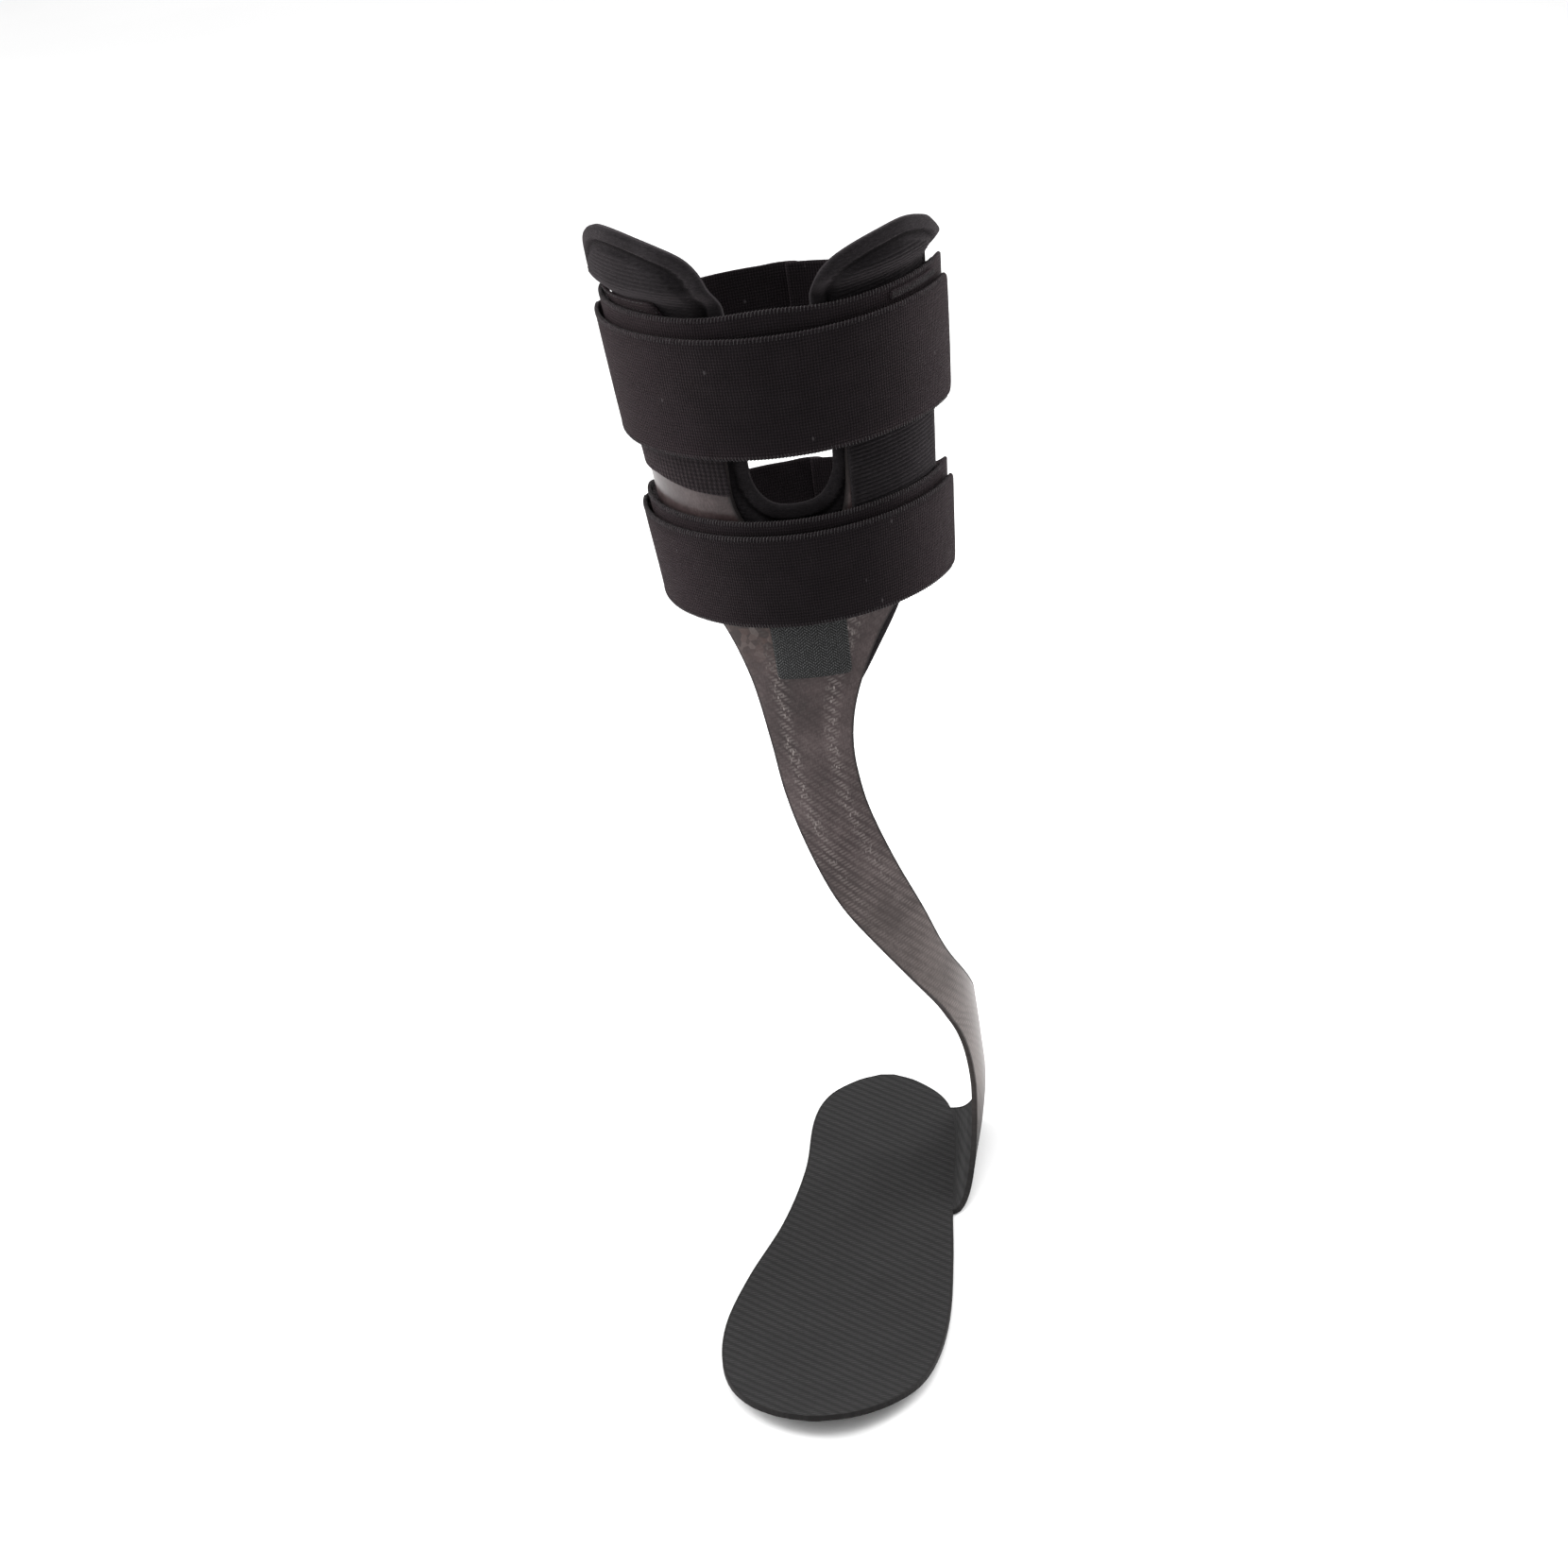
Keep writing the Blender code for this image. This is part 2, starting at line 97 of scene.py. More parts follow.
def follow(value, points):
    """Cubic Hermite curve through (x, y) points, level beyond the ends, for a number or an array."""
    xs = np.array([p[0] for p in points])
    ys = np.array([p[1] for p in points])
    slopes = np.empty_like(ys)
    slopes[1:-1] = (ys[2:] - ys[:-2]) / (xs[2:] - xs[:-2])
    slopes[0] = (ys[1] - ys[0]) / (xs[1] - xs[0])
    slopes[-1] = (ys[-1] - ys[-2]) / (xs[-1] - xs[-2])
    value = np.clip(value, xs[0], xs[-1])
    i = np.clip(np.searchsorted(xs, value, side="left") - 1, 0, len(xs) - 2)
    span = xs[i + 1] - xs[i]
    t = (value - xs[i]) / span
    return ((2 * t**3 - 3 * t**2 + 1) * ys[i] + (t**3 - 2 * t**2 + t) * span * slopes[i]
            + (3 * t**2 - 2 * t**3) * ys[i + 1] + (t**3 - t**2) * span * slopes[i + 1])


def limb_points(angle_deg, height, offset):
    """Points on the limb: 0 degrees is the front of the shin, +90 the outside, -90 the inside."""
    angle_deg, height, offset = np.broadcast_arrays(angle_deg, height, offset)
    side = np.cross((0, 1, 0), SHIN_AXIS)
    side = side / np.linalg.norm(side)
    rearward = np.cross(SHIN_AXIS, side)
    wide = follow(height, HALF_WIDTH)
    turn = np.radians(angle_deg)
    deep = np.where(np.cos(turn) < 0, wide, wide * follow(height, FRONT_DEPTH))
    nx, ny = np.sin(turn) / wide, -np.cos(turn) / deep
    size = np.hypot(nx, ny)
    across = wide * np.sin(turn) + offset * nx / size
    along = -deep * np.cos(turn) + offset * ny / size
    up = (height - SHIN_FOOT[2]) / SHIN_AXIS[2]
    return SHIN_FOOT + up[..., None] * SHIN_AXIS + across[..., None] * side + along[..., None] * rearward


def ease(value, low, high):
    """Smooth step from 0 at low to 1 at high."""
    t = np.clip((np.asarray(value, float) - low) / (high - low), 0, 1)
    return t * t * (3 - 2 * t)


def dipped(angle_deg, height):
    """A strap hangs a little lower at the front of the shin than at its sides, and lower still behind."""
    turn = np.radians(angle_deg)
    rise = STRAP_DIP * np.where(np.cos(turn) > 0, np.sin(turn)**2, 1.0)
    from_front = np.abs((np.asarray(angle_deg, float) + 180) % 360 - 180)
    return height + rise - STRAP_REAR_DROP * ease(from_front, 82, 140)


def flare(height):
    """The liner's wings spring outwards above the shell, and again above the upper strap."""
    return (FLARE_UNDER_STRAP * ease(height, SHELL_TOP, SHELL_TOP + 0.0100)
            + FLARE_ABOVE_STRAP * ease(height, SHELL_TOP + 0.0125, SHELL_TOP + 0.0235))


def level(angle_deg, height):
    return height + 0.0 * angle_deg


def smooth_line(points, steps=8):
    """Catmull-Rom curve through 2-D points, both ends included."""
    ends = [points[0]] + list(points) + [points[-1]]
    line = []
    for a, b, c, d in zip(ends, ends[1:], ends[2:], ends[3:]):
        for k in range(steps):
            t = k / steps
            line.append(tuple(0.5 * (2 * b[i] + (c[i] - a[i]) * t
                                     + (2 * a[i] - 5 * b[i] + 4 * c[i] - d[i]) * t**2
                                     + (3 * b[i] - a[i] - 3 * c[i] + d[i]) * t**3) for i in (0, 1)))
    line.append(tuple(points[-1]))
    return line


def rounded(corners, radius, steps=6):
    """Closed outline in metres with every corner turned into an arc of the given radius."""
    outline = []
    for i, corner in enumerate(corners):
        here = Vector(corner)
        before = Vector(corners[i - 1]) - here
        after = Vector(corners[(i + 1) % len(corners)]) - here
        half = before.angle(after) / 2
        cut = min(radius / math.tan(half), 0.45 * before.length, 0.45 * after.length)
        start = here + before.normalized() * cut
        end = here + after.normalized() * cut
        for k in range(steps + 1):
            t = k / steps
            outline.append(tuple(start * (1 - t)**2 + here * 2 * t * (1 - t) + end * t**2))
    return outline


def flat(points):
    return [(angle * METRES_PER_DEGREE, height) for angle, height in points]


def rectangle(low_angle, high_angle, low, high, radius=0.003):
    corners = [(low_angle, low), (high_angle, low), (high_angle, high), (low_angle, high)]
    return rounded(flat(corners), radius)


def distance_to_edge(points, outline):
    """Distance of each flat point from a closed outline."""
    starts = np.array(outline)
    runs = np.roll(starts, -1, axis=0) - starts
    lengths = np.maximum((runs**2).sum(1), 1e-18)
    nearest = np.full(len(points), 1e9)
    for start, run, length in zip(starts, runs, lengths):
        away = points - start
        t = np.clip(away @ run / length, 0, 1)
        nearest = np.minimum(nearest, ((away - t[:, None] * run)**2).sum(1))
    return np.sqrt(nearest)


def ripple(uv, size, seed):
    """Smooth noise from -1 to 1 over a flat pattern."""
    return np.array([noise.noise((u / size, v / size, seed)) for u, v in uv])


# ---------------------------------------------------------------- meshes

def cut_into_cells(bm, axis, step):
    values = [vert.co[axis] for vert in bm.verts]
    normal = Vector((0, 0, 0))
    normal[axis] = 1.0
    place = math.ceil(min(values) / step + 0.02) * step
    while place < max(values) - 0.02 * step:
        everything = list(bm.verts) + list(bm.edges) + list(bm.faces)
        bmesh.ops.bisect_plane(bm, geom=everything, dist=1e-7, plane_co=normal * place, plane_no=normal)
        place += step


def flat_cells(outline, cell, insets=()):
    """Flat pattern with optional loops just inside its edge, cut into cells."""
    bm = bmesh.new()
    inside = bm.faces.new([bm.verts.new((u, v, 0)) for u, v in outline])
    for inset in insets:
        bmesh.ops.inset_region(bm, faces=[inside], thickness=inset, use_even_offset=True, use_boundary=True)
    cut_into_cells(bm, 0, cell[0])
    cut_into_cells(bm, 1, cell[1])
    bm.verts.index_update()
    return bm


def mesh_object(name, verts, faces, uvs, materials, attributes=None):
    """Object from points and faces, with the flat pattern's own coordinates as its UV map."""
    mesh = bpy.data.meshes.new(name)
    mesh.from_pydata([tuple(p) for p in verts], [], faces)
    for material in materials:
        mesh.materials.append(material)
    layer = mesh.uv_layers.new(name="pattern")
    corner = np.empty(len(mesh.loops), dtype=np.int64)
    mesh.loops.foreach_get("vertex_index", corner)
    layer.data.foreach_set("uv", np.asarray(uvs, np.float32)[corner].ravel())
    for key, values in (attributes or {}).items():
        attribute = mesh.attributes.new(key, "FLOAT", "POINT")
        attribute.data.foreach_set("value", np.asarray(values, np.float32))
    bm = bmesh.new()
    bm.from_mesh(mesh)
    bmesh.ops.recalc_face_normals(bm, faces=bm.faces)
    bm.to_mesh(mesh)
    bm.free()
    mesh.shade_smooth()
    item = bpy.data.objects.new(name, mesh)
    bpy.context.scene.collection.objects.link(item)
    return item


def nothing(*_):
    return 0.0


def closed_sheet(name, outline, cell, front, back, materials, course=level, insets=(0.0003, 0.0006),
                 valley=nothing):
    """Soft sheet with its own front and back surfaces, each a function of (edge distance, u, v).

    course turns the pattern's height into the height on the limb.
    """
    bm = flat_cells(outline, cell, insets)
    uv = np.array([vert.co[:2] for vert in bm.verts])
    faces = [[vert.index for vert in face.verts] for face in bm.faces]
    rim = [[vert.index for vert in edge.verts] for edge in bm.edges if edge.is_boundary]
    bm.free()
    edge_distance = distance_to_edge(uv, outline)
    angle = uv[:, 0] / METRES_PER_DEGREE
    height = course(angle, uv[:, 1])
    outside = limb_points(angle, height, front(edge_distance, uv[:, 0], uv[:, 1]))
    inside = limb_points(angle, height, back(edge_distance, uv[:, 0], uv[:, 1]))
    count = len(uv)
    walls = [[a, b, b + count, a + count] for a, b in rim]
    all_faces = faces + [[k + count for k in reversed(face)] for face in faces] + walls
    # The valley amount darkens the front as painted shade in grooves; the back gets none.
    groove = valley(edge_distance, uv[:, 0], uv[:, 1]) + np.zeros(count)
    return mesh_object(name, np.vstack((outside, inside)), all_faces, np.vstack((uv, uv)), materials,
                       {"edge": np.concatenate((edge_distance, edge_distance)),
                        "valley": np.concatenate((groove, np.zeros(count)))})


def band_profile(layer, roll=0.0007, lift=None, wave=0.0):
    """Front and back surfaces of a knitted band with rolled edges."""
    base, thickness = layer

    def middle(edge, u, v):
        raised = lift(u / METRES_PER_DEGREE) if lift else 0.0
        slack = wave * ripple(np.stack((u, v), 1), 0.018, base * 1000) if wave else 0.0
        return base + thickness / 2 + raised + slack

    def half(edge):
        near = 1 - np.clip(edge / roll, 0, 1)
        return thickness / 2 * (0.25 + 0.75 * np.sqrt(1 - near**2))

    return (lambda edge, u, v: middle(edge, u, v) + half(edge),
            lambda edge, u, v: middle(edge, u, v) - half(edge))


def threads(name, paths, radius, material, sides=5):
    """Sewing threads: each path is a few points that a thin round tube follows."""
    verts, faces, uvs = [], [], []
    for path in paths:
        path = np.asarray(path, float)
        along = np.gradient(path, axis=0)
        along /= np.linalg.norm(along, axis=1)[:, None]
        helper = np.array((0.3, 0.2, 0.93)) if abs(along[0][2]) < 0.8 else np.array((1.0, 0.1, 0.0))
        first = np.cross(along, helper)
        first /= np.linalg.norm(first, axis=1)[:, None]
        second = np.cross(along, first)
        start = len(verts)
        for ring in range(len(path)):
            for k in range(sides):
                turn = 2 * math.pi * k / sides
                shrink = 0.55 if ring in (0, len(path) - 1) else 1.0
                verts.append(path[ring] + radius * shrink * (first[ring] * math.cos(turn)
                                                              + second[ring] * math.sin(turn)))
                uvs.append((ring * 0.001, k * 0.001))
        for ring in range(len(path) - 1):
            low, high = start + ring * sides, start + (ring + 1) * sides
            for k in range(sides):
                after = (k + 1) % sides
                faces.append([low + k, low + after, high + after, high + k])
        faces.append([start + k for k in reversed(range(sides))])
        faces.append([start + (len(path) - 1) * sides + k for k in range(sides)])
    return mesh_object(name, verts, faces, uvs, [material])


# ---------------------------------------------------------------- material helpers

class Nodes:
    """Short way to build a procedural material round one Principled shader."""

    def __init__(self, name):
        self.material = bpy.data.materials.new(name)
        self.material.use_nodes = True
        self.tree = self.material.node_tree
        self.shader = self.tree.nodes["Principled BSDF"]

    def add(self, kind, **settings):
        node = self.tree.nodes.new(kind)
        for key, value in settings.items():
            if key.startswith("in_"):
                socket = key[3:]
                place = int(socket) if socket.isdigit() else socket.replace("_", " ")
                node.inputs[place].default_value = value
            else:
                setattr(node, key, value)
        return node

    def link(self, output, socket):
        self.tree.links.new(output, socket)

    def math(self, operation, a, b=None, c=None):
        node = self.add("ShaderNodeMath", operation=operation)
        for slot, value in zip(node.inputs, (a, b, c)):
            if value is None:
                continue
            if isinstance(value, (int, float)):
                slot.default_value = value
            else:
                self.link(value, slot)
        return node.outputs[0]

    def pattern(self):
        """The flat pattern's two coordinates, in metres."""
        uv = self.add("ShaderNodeUVMap", uv_map="pattern")
        parts = self.add("ShaderNodeSeparateXYZ")
        self.link(uv.outputs[0], parts.inputs[0])
        return uv.outputs[0], parts.outputs[0], parts.outputs[1]

    def stored(self, key):
        """A number kept on each point of the mesh."""
        return self.add("ShaderNodeAttribute", attribute_name=key).outputs["Fac"]

    def channels(self, vector):
        """The three parts of a colour, or of a cell's own random colour."""
        node = self.add("ShaderNodeSeparateColor")
        self.link(vector, node.inputs[0])
        return node.outputs

    def fade(self, value, *stops):
        """Grey ramp through (place, level) stops."""
        return self.ramp(value, [(place, (level,) * 3) for place, level in stops])

    def noise(self, vector, scale, detail=2.0, roughness=0.5, distortion=0.0):
        node = self.add("ShaderNodeTexNoise")
        node.inputs["Scale"].default_value = scale
        node.inputs["Detail"].default_value = detail
        node.inputs["Roughness"].default_value = roughness
        node.inputs["Distortion"].default_value = distortion
        if vector is not None:
            self.link(vector, node.inputs["Vector"])
        return node.outputs["Fac"]

    def voronoi(self, vector, scale, feature="F1"):
        node = self.add("ShaderNodeTexVoronoi", feature=feature)
        node.inputs["Scale"].default_value = scale
        if vector is not None:
            self.link(vector, node.inputs["Vector"])
        return node

    def stretch(self, vector, x, y, z=1.0, turn=0.0):
        node = self.add("ShaderNodeMapping")
        node.inputs["Scale"].default_value = (x, y, z)
        node.inputs["Rotation"].default_value = (0, 0, turn)
        self.link(vector, node.inputs["Vector"])
        return node.outputs[0]

    def ramp(self, value, stops):
        node = self.add("ShaderNodeValToRGB")
        elements = node.color_ramp.elements
        while len(elements) < len(stops):
            elements.new(0.5)
        for element, (place, color) in zip(elements, stops):
            element.position = place
            element.color = (*color, 1.0) if len(color) == 3 else color
        self.link(value, node.inputs[0])
        return node.outputs[0]

    def mix(self, factor, a, b):
        node = self.add("ShaderNodeMix", data_type="RGBA")
        for slot, value in ((node.inputs[0], factor), (node.inputs[6], a), (node.inputs[7], b)):
            if isinstance(value, (int, float)):
                slot.default_value = value
            elif isinstance(value, tuple):
                slot.default_value = (*value, 1.0)
            else:
                self.link(value, slot)
        return node.outputs[2]

    def bump(self, height, strength, distance, previous=None):
        node = self.add("ShaderNodeBump")
        node.inputs["Strength"].default_value = strength
        node.inputs["Distance"].default_value = distance
        self.link(height, node.inputs["Height"])
        if previous is not None:
            self.link(previous, node.inputs["Normal"])
        return node.outputs[0]

    def finish(self, color, roughness, normal=None, **constants):
        self.link(color, self.shader.inputs["Base Color"])
        if isinstance(roughness, (int, float)):
            self.shader.inputs["Roughness"].default_value = roughness
        else:
            self.link(roughness, self.shader.inputs["Roughness"])
        if normal is not None:
            self.link(normal, self.shader.inputs["Normal"])
        for key, value in constants.items():
            self.shader.inputs[key.replace("_", " ")].default_value = value
        return self.material


# ---------------------------------------------------------------- materials

TWILL_TURN = math.radians(-52)
TOW_ROW = 0.0036
TOW_LENGTH = 0.0017
TOW_LEAN = 0.0026
HOOK_COLUMN = 0.0026
HOOK_ROW = 0.0012
HOOK_WIDTH = 0.0009


def carbon_weave():
    """Black cloth under clear resin: mottled brown grey, with bright flecks where the plies meet."""
    n = Nodes("carbon_weave")
    uv, _, v = n.pattern()
    across, edge, plate = (n.stored(key) for key in ("across", "edge", "plate"))

    cloud = n.noise(uv, 38.0, detail=5.0, roughness=0.65)
    grain = n.noise(n.stretch(uv, 1.0, 0.35), 1500.0, detail=3.0, roughness=0.7)
    shade = n.math("ADD", n.math("MULTIPLY", cloud, 0.62), n.math("MULTIPLY", grain, 0.38))
    dark_ground = n.ramp(shade, [(0.36, (0.018, 0.0115, 0.0115)), (0.50, (0.036, 0.0245, 0.0248)),
                                 (0.64, (0.070, 0.052, 0.052))])
    # Painted reflection: the ground is made paler towards the ankle, where the glossy strut faces the bright
    # right-hand side.
    painted_reflection_ground = n.ramp(shade, [(0.36, (0.052, 0.041, 0.038)), (0.64, (0.120, 0.103, 0.096))])
    towards_ankle = n.fade(n.math("MULTIPLY", v, 5.0), (0.28, 1.0), (0.80, 0.0))
    ground = n.mix(towards_ankle, dark_ground, painted_reflection_ground)

    turned = n.add("ShaderNodeSeparateXYZ")
    n.link(n.stretch(uv, 1.0, 1.0, turn=TWILL_TURN), turned.inputs[0])
    row = n.math("MULTIPLY", turned.outputs[0], 1 / TOW_ROW)
    lean = n.math("MULTIPLY", n.math("FRACT", row), TOW_LEAN)
    dash = n.math("MULTIPLY", n.math("ADD", turned.outputs[1], lean), 1 / TOW_LENGTH)
    tow = n.math("MULTIPLY", n.math("SINE", n.math("MULTIPLY", n.math("FRACT", row), math.pi)),
                 n.math("SINE", n.math("MULTIPLY", n.math("FRACT", dash), math.pi)))
    broken = n.math("MULTIPLY", tow, n.math("ADD", n.noise(uv, 520.0, detail=1.0), 0.45))
    twill = n.fade(broken, (0.25, 0.0), (0.80, 1.0))
    low_down = n.fade(n.math("MULTIPLY", v, 4.0), (0.60, 0.85), (0.86, 0.06))
    patchy = n.fade(n.noise(uv, 60.0, detail=3.0), (0.36, 0.35), (0.62, 1.0))
    woven = n.mix(n.math("MULTIPLY", n.math("MULTIPLY", twill, low_down), n.math("MULTIPLY", patchy, 0.75)),
                  ground, (0.125, 0.102, 0.098))

    wander = n.math("MULTIPLY", n.math("SUBTRACT", n.noise(n.stretch(uv, 0.2, 1.0), 60.0), 0.5), 0.10)
    centre = n.math("SUBTRACT", n.math("ADD", across, wander), 0.5)
    from_ply = n.math("ABSOLUTE", n.math("SUBTRACT", n.math("ABSOLUTE", centre), 0.25))
    ply = n.fade(n.math("MULTIPLY", from_ply, 5.0), (0.05, 1.0), (0.55, 0.0))
    ply = n.math("MAXIMUM", ply, 0.07)
    spot = n.voronoi(n.stretch(uv, 1.0, 0.55, turn=math.radians(35)), 1050.0)
    chosen = n.fade(n.channels(spot.outputs["Color"])[0], (0.58, 0.0), (0.80, 1.0))
    inside = n.fade(spot.outputs["Distance"], (0.30, 1.0), (0.55, 0.0))
    fleck = n.math("MULTIPLY", n.math("MULTIPLY", chosen, inside), ply)
    dashes = n.math("MULTIPLY", n.math("MULTIPLY", twill, ply), 0.42)
    fleck = n.math("MAXIMUM", fleck, dashes)
    high_up = n.fade(n.math("MULTIPLY", v, 2.5), (0.30, 0.10), (0.44, 1.0), (0.70, 1.0), (0.74, 0.0))
    flecked = n.mix(n.math("MULTIPLY", n.math("MULTIPLY", fleck, high_up), 0.75), woven,
                    (0.245, 0.215, 0.205))

    shard = n.voronoi(uv, 300.0)
    shard_chance = n.channels(shard.outputs["Color"])[1]
    at_neck = n.fade(n.math("MULTIPLY", v, 2.5), (0.58, 0.0), (0.62, 1.0), (0.69, 1.0), (0.73, 0.0))
    near_neck = n.math("MULTIPLY", at_neck, n.fade(across, (0.30, 1.0), (0.44, 0.0)))
    brighter = n.fade(n.math("MULTIPLY", v, 2.5), (0.63, 0.62), (0.67, 1.0))
    glint = n.ramp(n.math("MULTIPLY", shard_chance, brighter),
                   [(0.15, (0.018, 0.011, 0.010)), (0.50, (0.048, 0.028, 0.024)),
                    (0.75, (0.115, 0.104, 0.100))])
    glinting = n.mix(n.math("MULTIPLY", near_neck, 0.80), flecked, glint)

    on_plate = n.mix(n.math("MULTIPLY", twill, 0.8), (0.0010, 0.0009, 0.0010), (0.020, 0.0185, 0.0195))
    on_plate = n.mix(n.math("MULTIPLY", patchy, 0.30), on_plate, (0.0020, 0.0018, 0.0020))
    body = n.mix(plate, glinting, on_plate)
    rim = n.fade(n.math("MULTIPLY", edge, 400.0), (0.20, 1.0), (0.50, 0.0))
    color = n.mix(n.math("MULTIPLY", rim, 0.75), body, (0.012, 0.011, 0.011))
    smooth = n.fade(cloud, (0.3, 0.27), (0.7, 0.42))
    matt_edge = n.math("MULTIPLY", rim, 0.45)
    rough = n.math("ADD", n.math("ADD", smooth, matt_edge), n.math("MULTIPLY", plate, 0.35))
    weave = n.math("MULTIPLY", tow, n.math("ADD", low_down, plate))
    normal = n.bump(weave, 0.22, 0.0002, previous=n.bump(cloud, 0.10, 0.0012))
    return n.finish(color, rough, normal, Metallic=0.0, Specular_IOR_Level=0.20, Coat_Weight=0.05,
                    Coat_Roughness=0.12)


def knitted(name, dark, light, wale=0.00095, course=0.0012):
    """Fine vertical ribs of a knit, each with its row of loops, under a short fuzz."""
    n = Nodes(name)
    uv, u, v = n.pattern()
    drift = n.math("MULTIPLY", n.noise(uv, 140.0, detail=2.0), 0.0009)
    rib = n.math("SINE", n.math("MULTIPLY", n.math("ADD", u, drift), 2 * math.pi / wale))
    loop = n.math("SINE", n.math("ADD", n.math("MULTIPLY", v, 2 * math.pi / course),
                                 n.math("MULTIPLY", n.math("ABSOLUTE", rib), 1.8)))
    knit = n.math("ADD", n.math("MULTIPLY", rib, 0.55), n.math("MULTIPLY", loop, 0.45))
    fuzz = n.noise(uv, 2400.0, detail=4.0, roughness=0.8)
    patch = n.noise(uv, 90.0, detail=4.0, roughness=0.6)
    shade = n.math("ADD", n.math("MULTIPLY", n.math("ADD", knit, 1.0), 0.15),
                   n.math("ADD", n.math("MULTIPLY", fuzz, 0.62), n.math("MULTIPLY", patch, 0.18)))
    middle = tuple(0.65 * d + 0.35 * l for d, l in zip(dark, light))
    color = n.ramp(shade, [(0.36, dark), (0.58, middle), (0.82, light)])
    lint = n.voronoi(n.stretch(uv, 1.0, 0.45, turn=0.6), 420.0)
    speck = n.math("MULTIPLY", n.fade(lint.outputs["Distance"], (0.10, 1.0), (0.20, 0.0)),
                   n.fade(n.channels(lint.outputs["Color"])[0], (0.972, 0.0), (0.978, 1.0)))
    color = n.mix(n.math("MULTIPLY", speck, 0.35), color, (0.11, 0.10, 0.105))
    # Painted sheen: the knit is lightened in fuzzy spots within about a millimetre of its edges, where its
    # rolled rim catches grazing light.
    edge = n.stored("edge")
    near_edge = n.fade(n.math("MULTIPLY", edge, 500.0), (0.0, 1.0), (0.45, 0.0))
    edge_sheen = n.math("MULTIPLY", near_edge, n.fade(fuzz, (0.45, 0.0), (0.68, 1.0)))
    color = n.mix(n.math("MULTIPLY", edge_sheen, 0.45), color, tuple(c * 3.5 for c in light))
    height = n.math("ADD", knit, n.math("MULTIPLY", fuzz, 1.6))
    normal = n.bump(height, 0.75, 0.0003)
    return n.finish(color, 0.95, normal, Specular_IOR_Level=0.05, Sheen_Weight=0.10, Sheen_Roughness=0.35,
                    Sheen_Tint=(0.80, 0.58, 0.62, 1.0))


def ribbed_textile():
    """Liner cloth: brushed, with a fine pile; its cross ribs are in the mesh."""
    n = Nodes("liner_textile")
    uv, _, _ = n.pattern()
    fuzz = n.noise(uv, 2300.0, detail=4.0, roughness=0.8)
    grain = n.noise(n.stretch(uv, 0.5, 1.6), 1100.0, detail=3.0)
    patch = n.noise(uv, 75.0, detail=3.0)
    shade = n.math("ADD", n.math("MULTIPLY", fuzz, 0.5), n.math("ADD", n.math("MULTIPLY", grain, 0.3),
                                                                n.math("MULTIPLY", patch, 0.25)))
    color = n.ramp(shade, [(0.38, (0.0035, 0.0031, 0.0034)), (0.54, (0.0120, 0.0106, 0.0116)),
                           (0.74, (0.030, 0.027, 0.029))])
    edge = n.stored("edge")
    valley = n.stored("valley")
    # Painted shade: the welded groove and the gaps between the ribs are darkened by the stored valley amount.
    color = n.mix(n.math("MULTIPLY", valley, 0.85), color, (0.0010, 0.0009, 0.0010))
    border = n.fade(n.math("MULTIPLY", edge, 300.0), (0.0, 1.0), (0.25, 0.0))
    color = n.mix(n.math("MULTIPLY", border, 0.35), color, (0.030, 0.027, 0.029))
    normal = n.bump(n.math("ADD", fuzz, grain), 0.7, 0.0003)
    return n.finish(color, 0.97, normal, Specular_IOR_Level=0.05, Sheen_Weight=0.10, Sheen_Roughness=0.4,
                    Sheen_Tint=(0.75, 0.64, 0.68, 1.0))


def hook_tape():
    """Rows of moulded hooks that lean one way and then the other."""
    n = Nodes("hook_tape")
    uv, u, v = n.pattern()
    column = n.math("MULTIPLY", u, 1 / HOOK_COLUMN)
    odd = n.math("FLOORED_MODULO", n.math("FLOOR", column), 2.0)
    lean = n.math("SUBTRACT", n.math("MULTIPLY", odd, 2.0), 1.0)
    slanted = n.math("ADD", n.math("MULTIPLY", v, 1 / HOOK_ROW),
                     n.math("MULTIPLY", n.math("MULTIPLY", n.math("FRACT", column), lean), 1.6))
    hook = n.math("SINE", n.math("MULTIPLY", slanted, 2 * math.pi))
    dots = n.math("SINE", n.math("MULTIPLY", u, 2 * math.pi / HOOK_WIDTH))
    fuzz = n.noise(uv, 1500.0, detail=2.0)
    shape = n.math("ADD", n.math("MULTIPLY", hook, 0.7), n.math("MULTIPLY", dots, 0.4))
    shade = n.math("ADD", n.math("MULTIPLY", shape, 0.28), n.math("MULTIPLY", fuzz, 0.8))
    color = n.ramp(shade, [(0.22, (0.0020, 0.0020, 0.0021)), (0.46, (0.010, 0.0102, 0.0106)),
                           (0.72, (0.085, 0.086, 0.088))])
    normal = n.bump(shape, 0.8, 0.0003)
    return n.finish(color, 0.62, normal, Specular_IOR_Level=0.22)


def sewing_thread():
    n = Nodes("sewing_thread")
    point = n.add("ShaderNodeTexCoord").outputs["Object"]
    twist = n.noise(point, 1800.0, detail=2.0)
    color = n.ramp(twist, [(0.3, (0.016, 0.014, 0.015)), (0.7, (0.070, 0.066, 0.068))])
    return n.finish(color, 0.85, n.bump(twist, 0.3, 0.0001), Specular_IOR_Level=0.2)


# ---------------------------------------------------------------- outlines

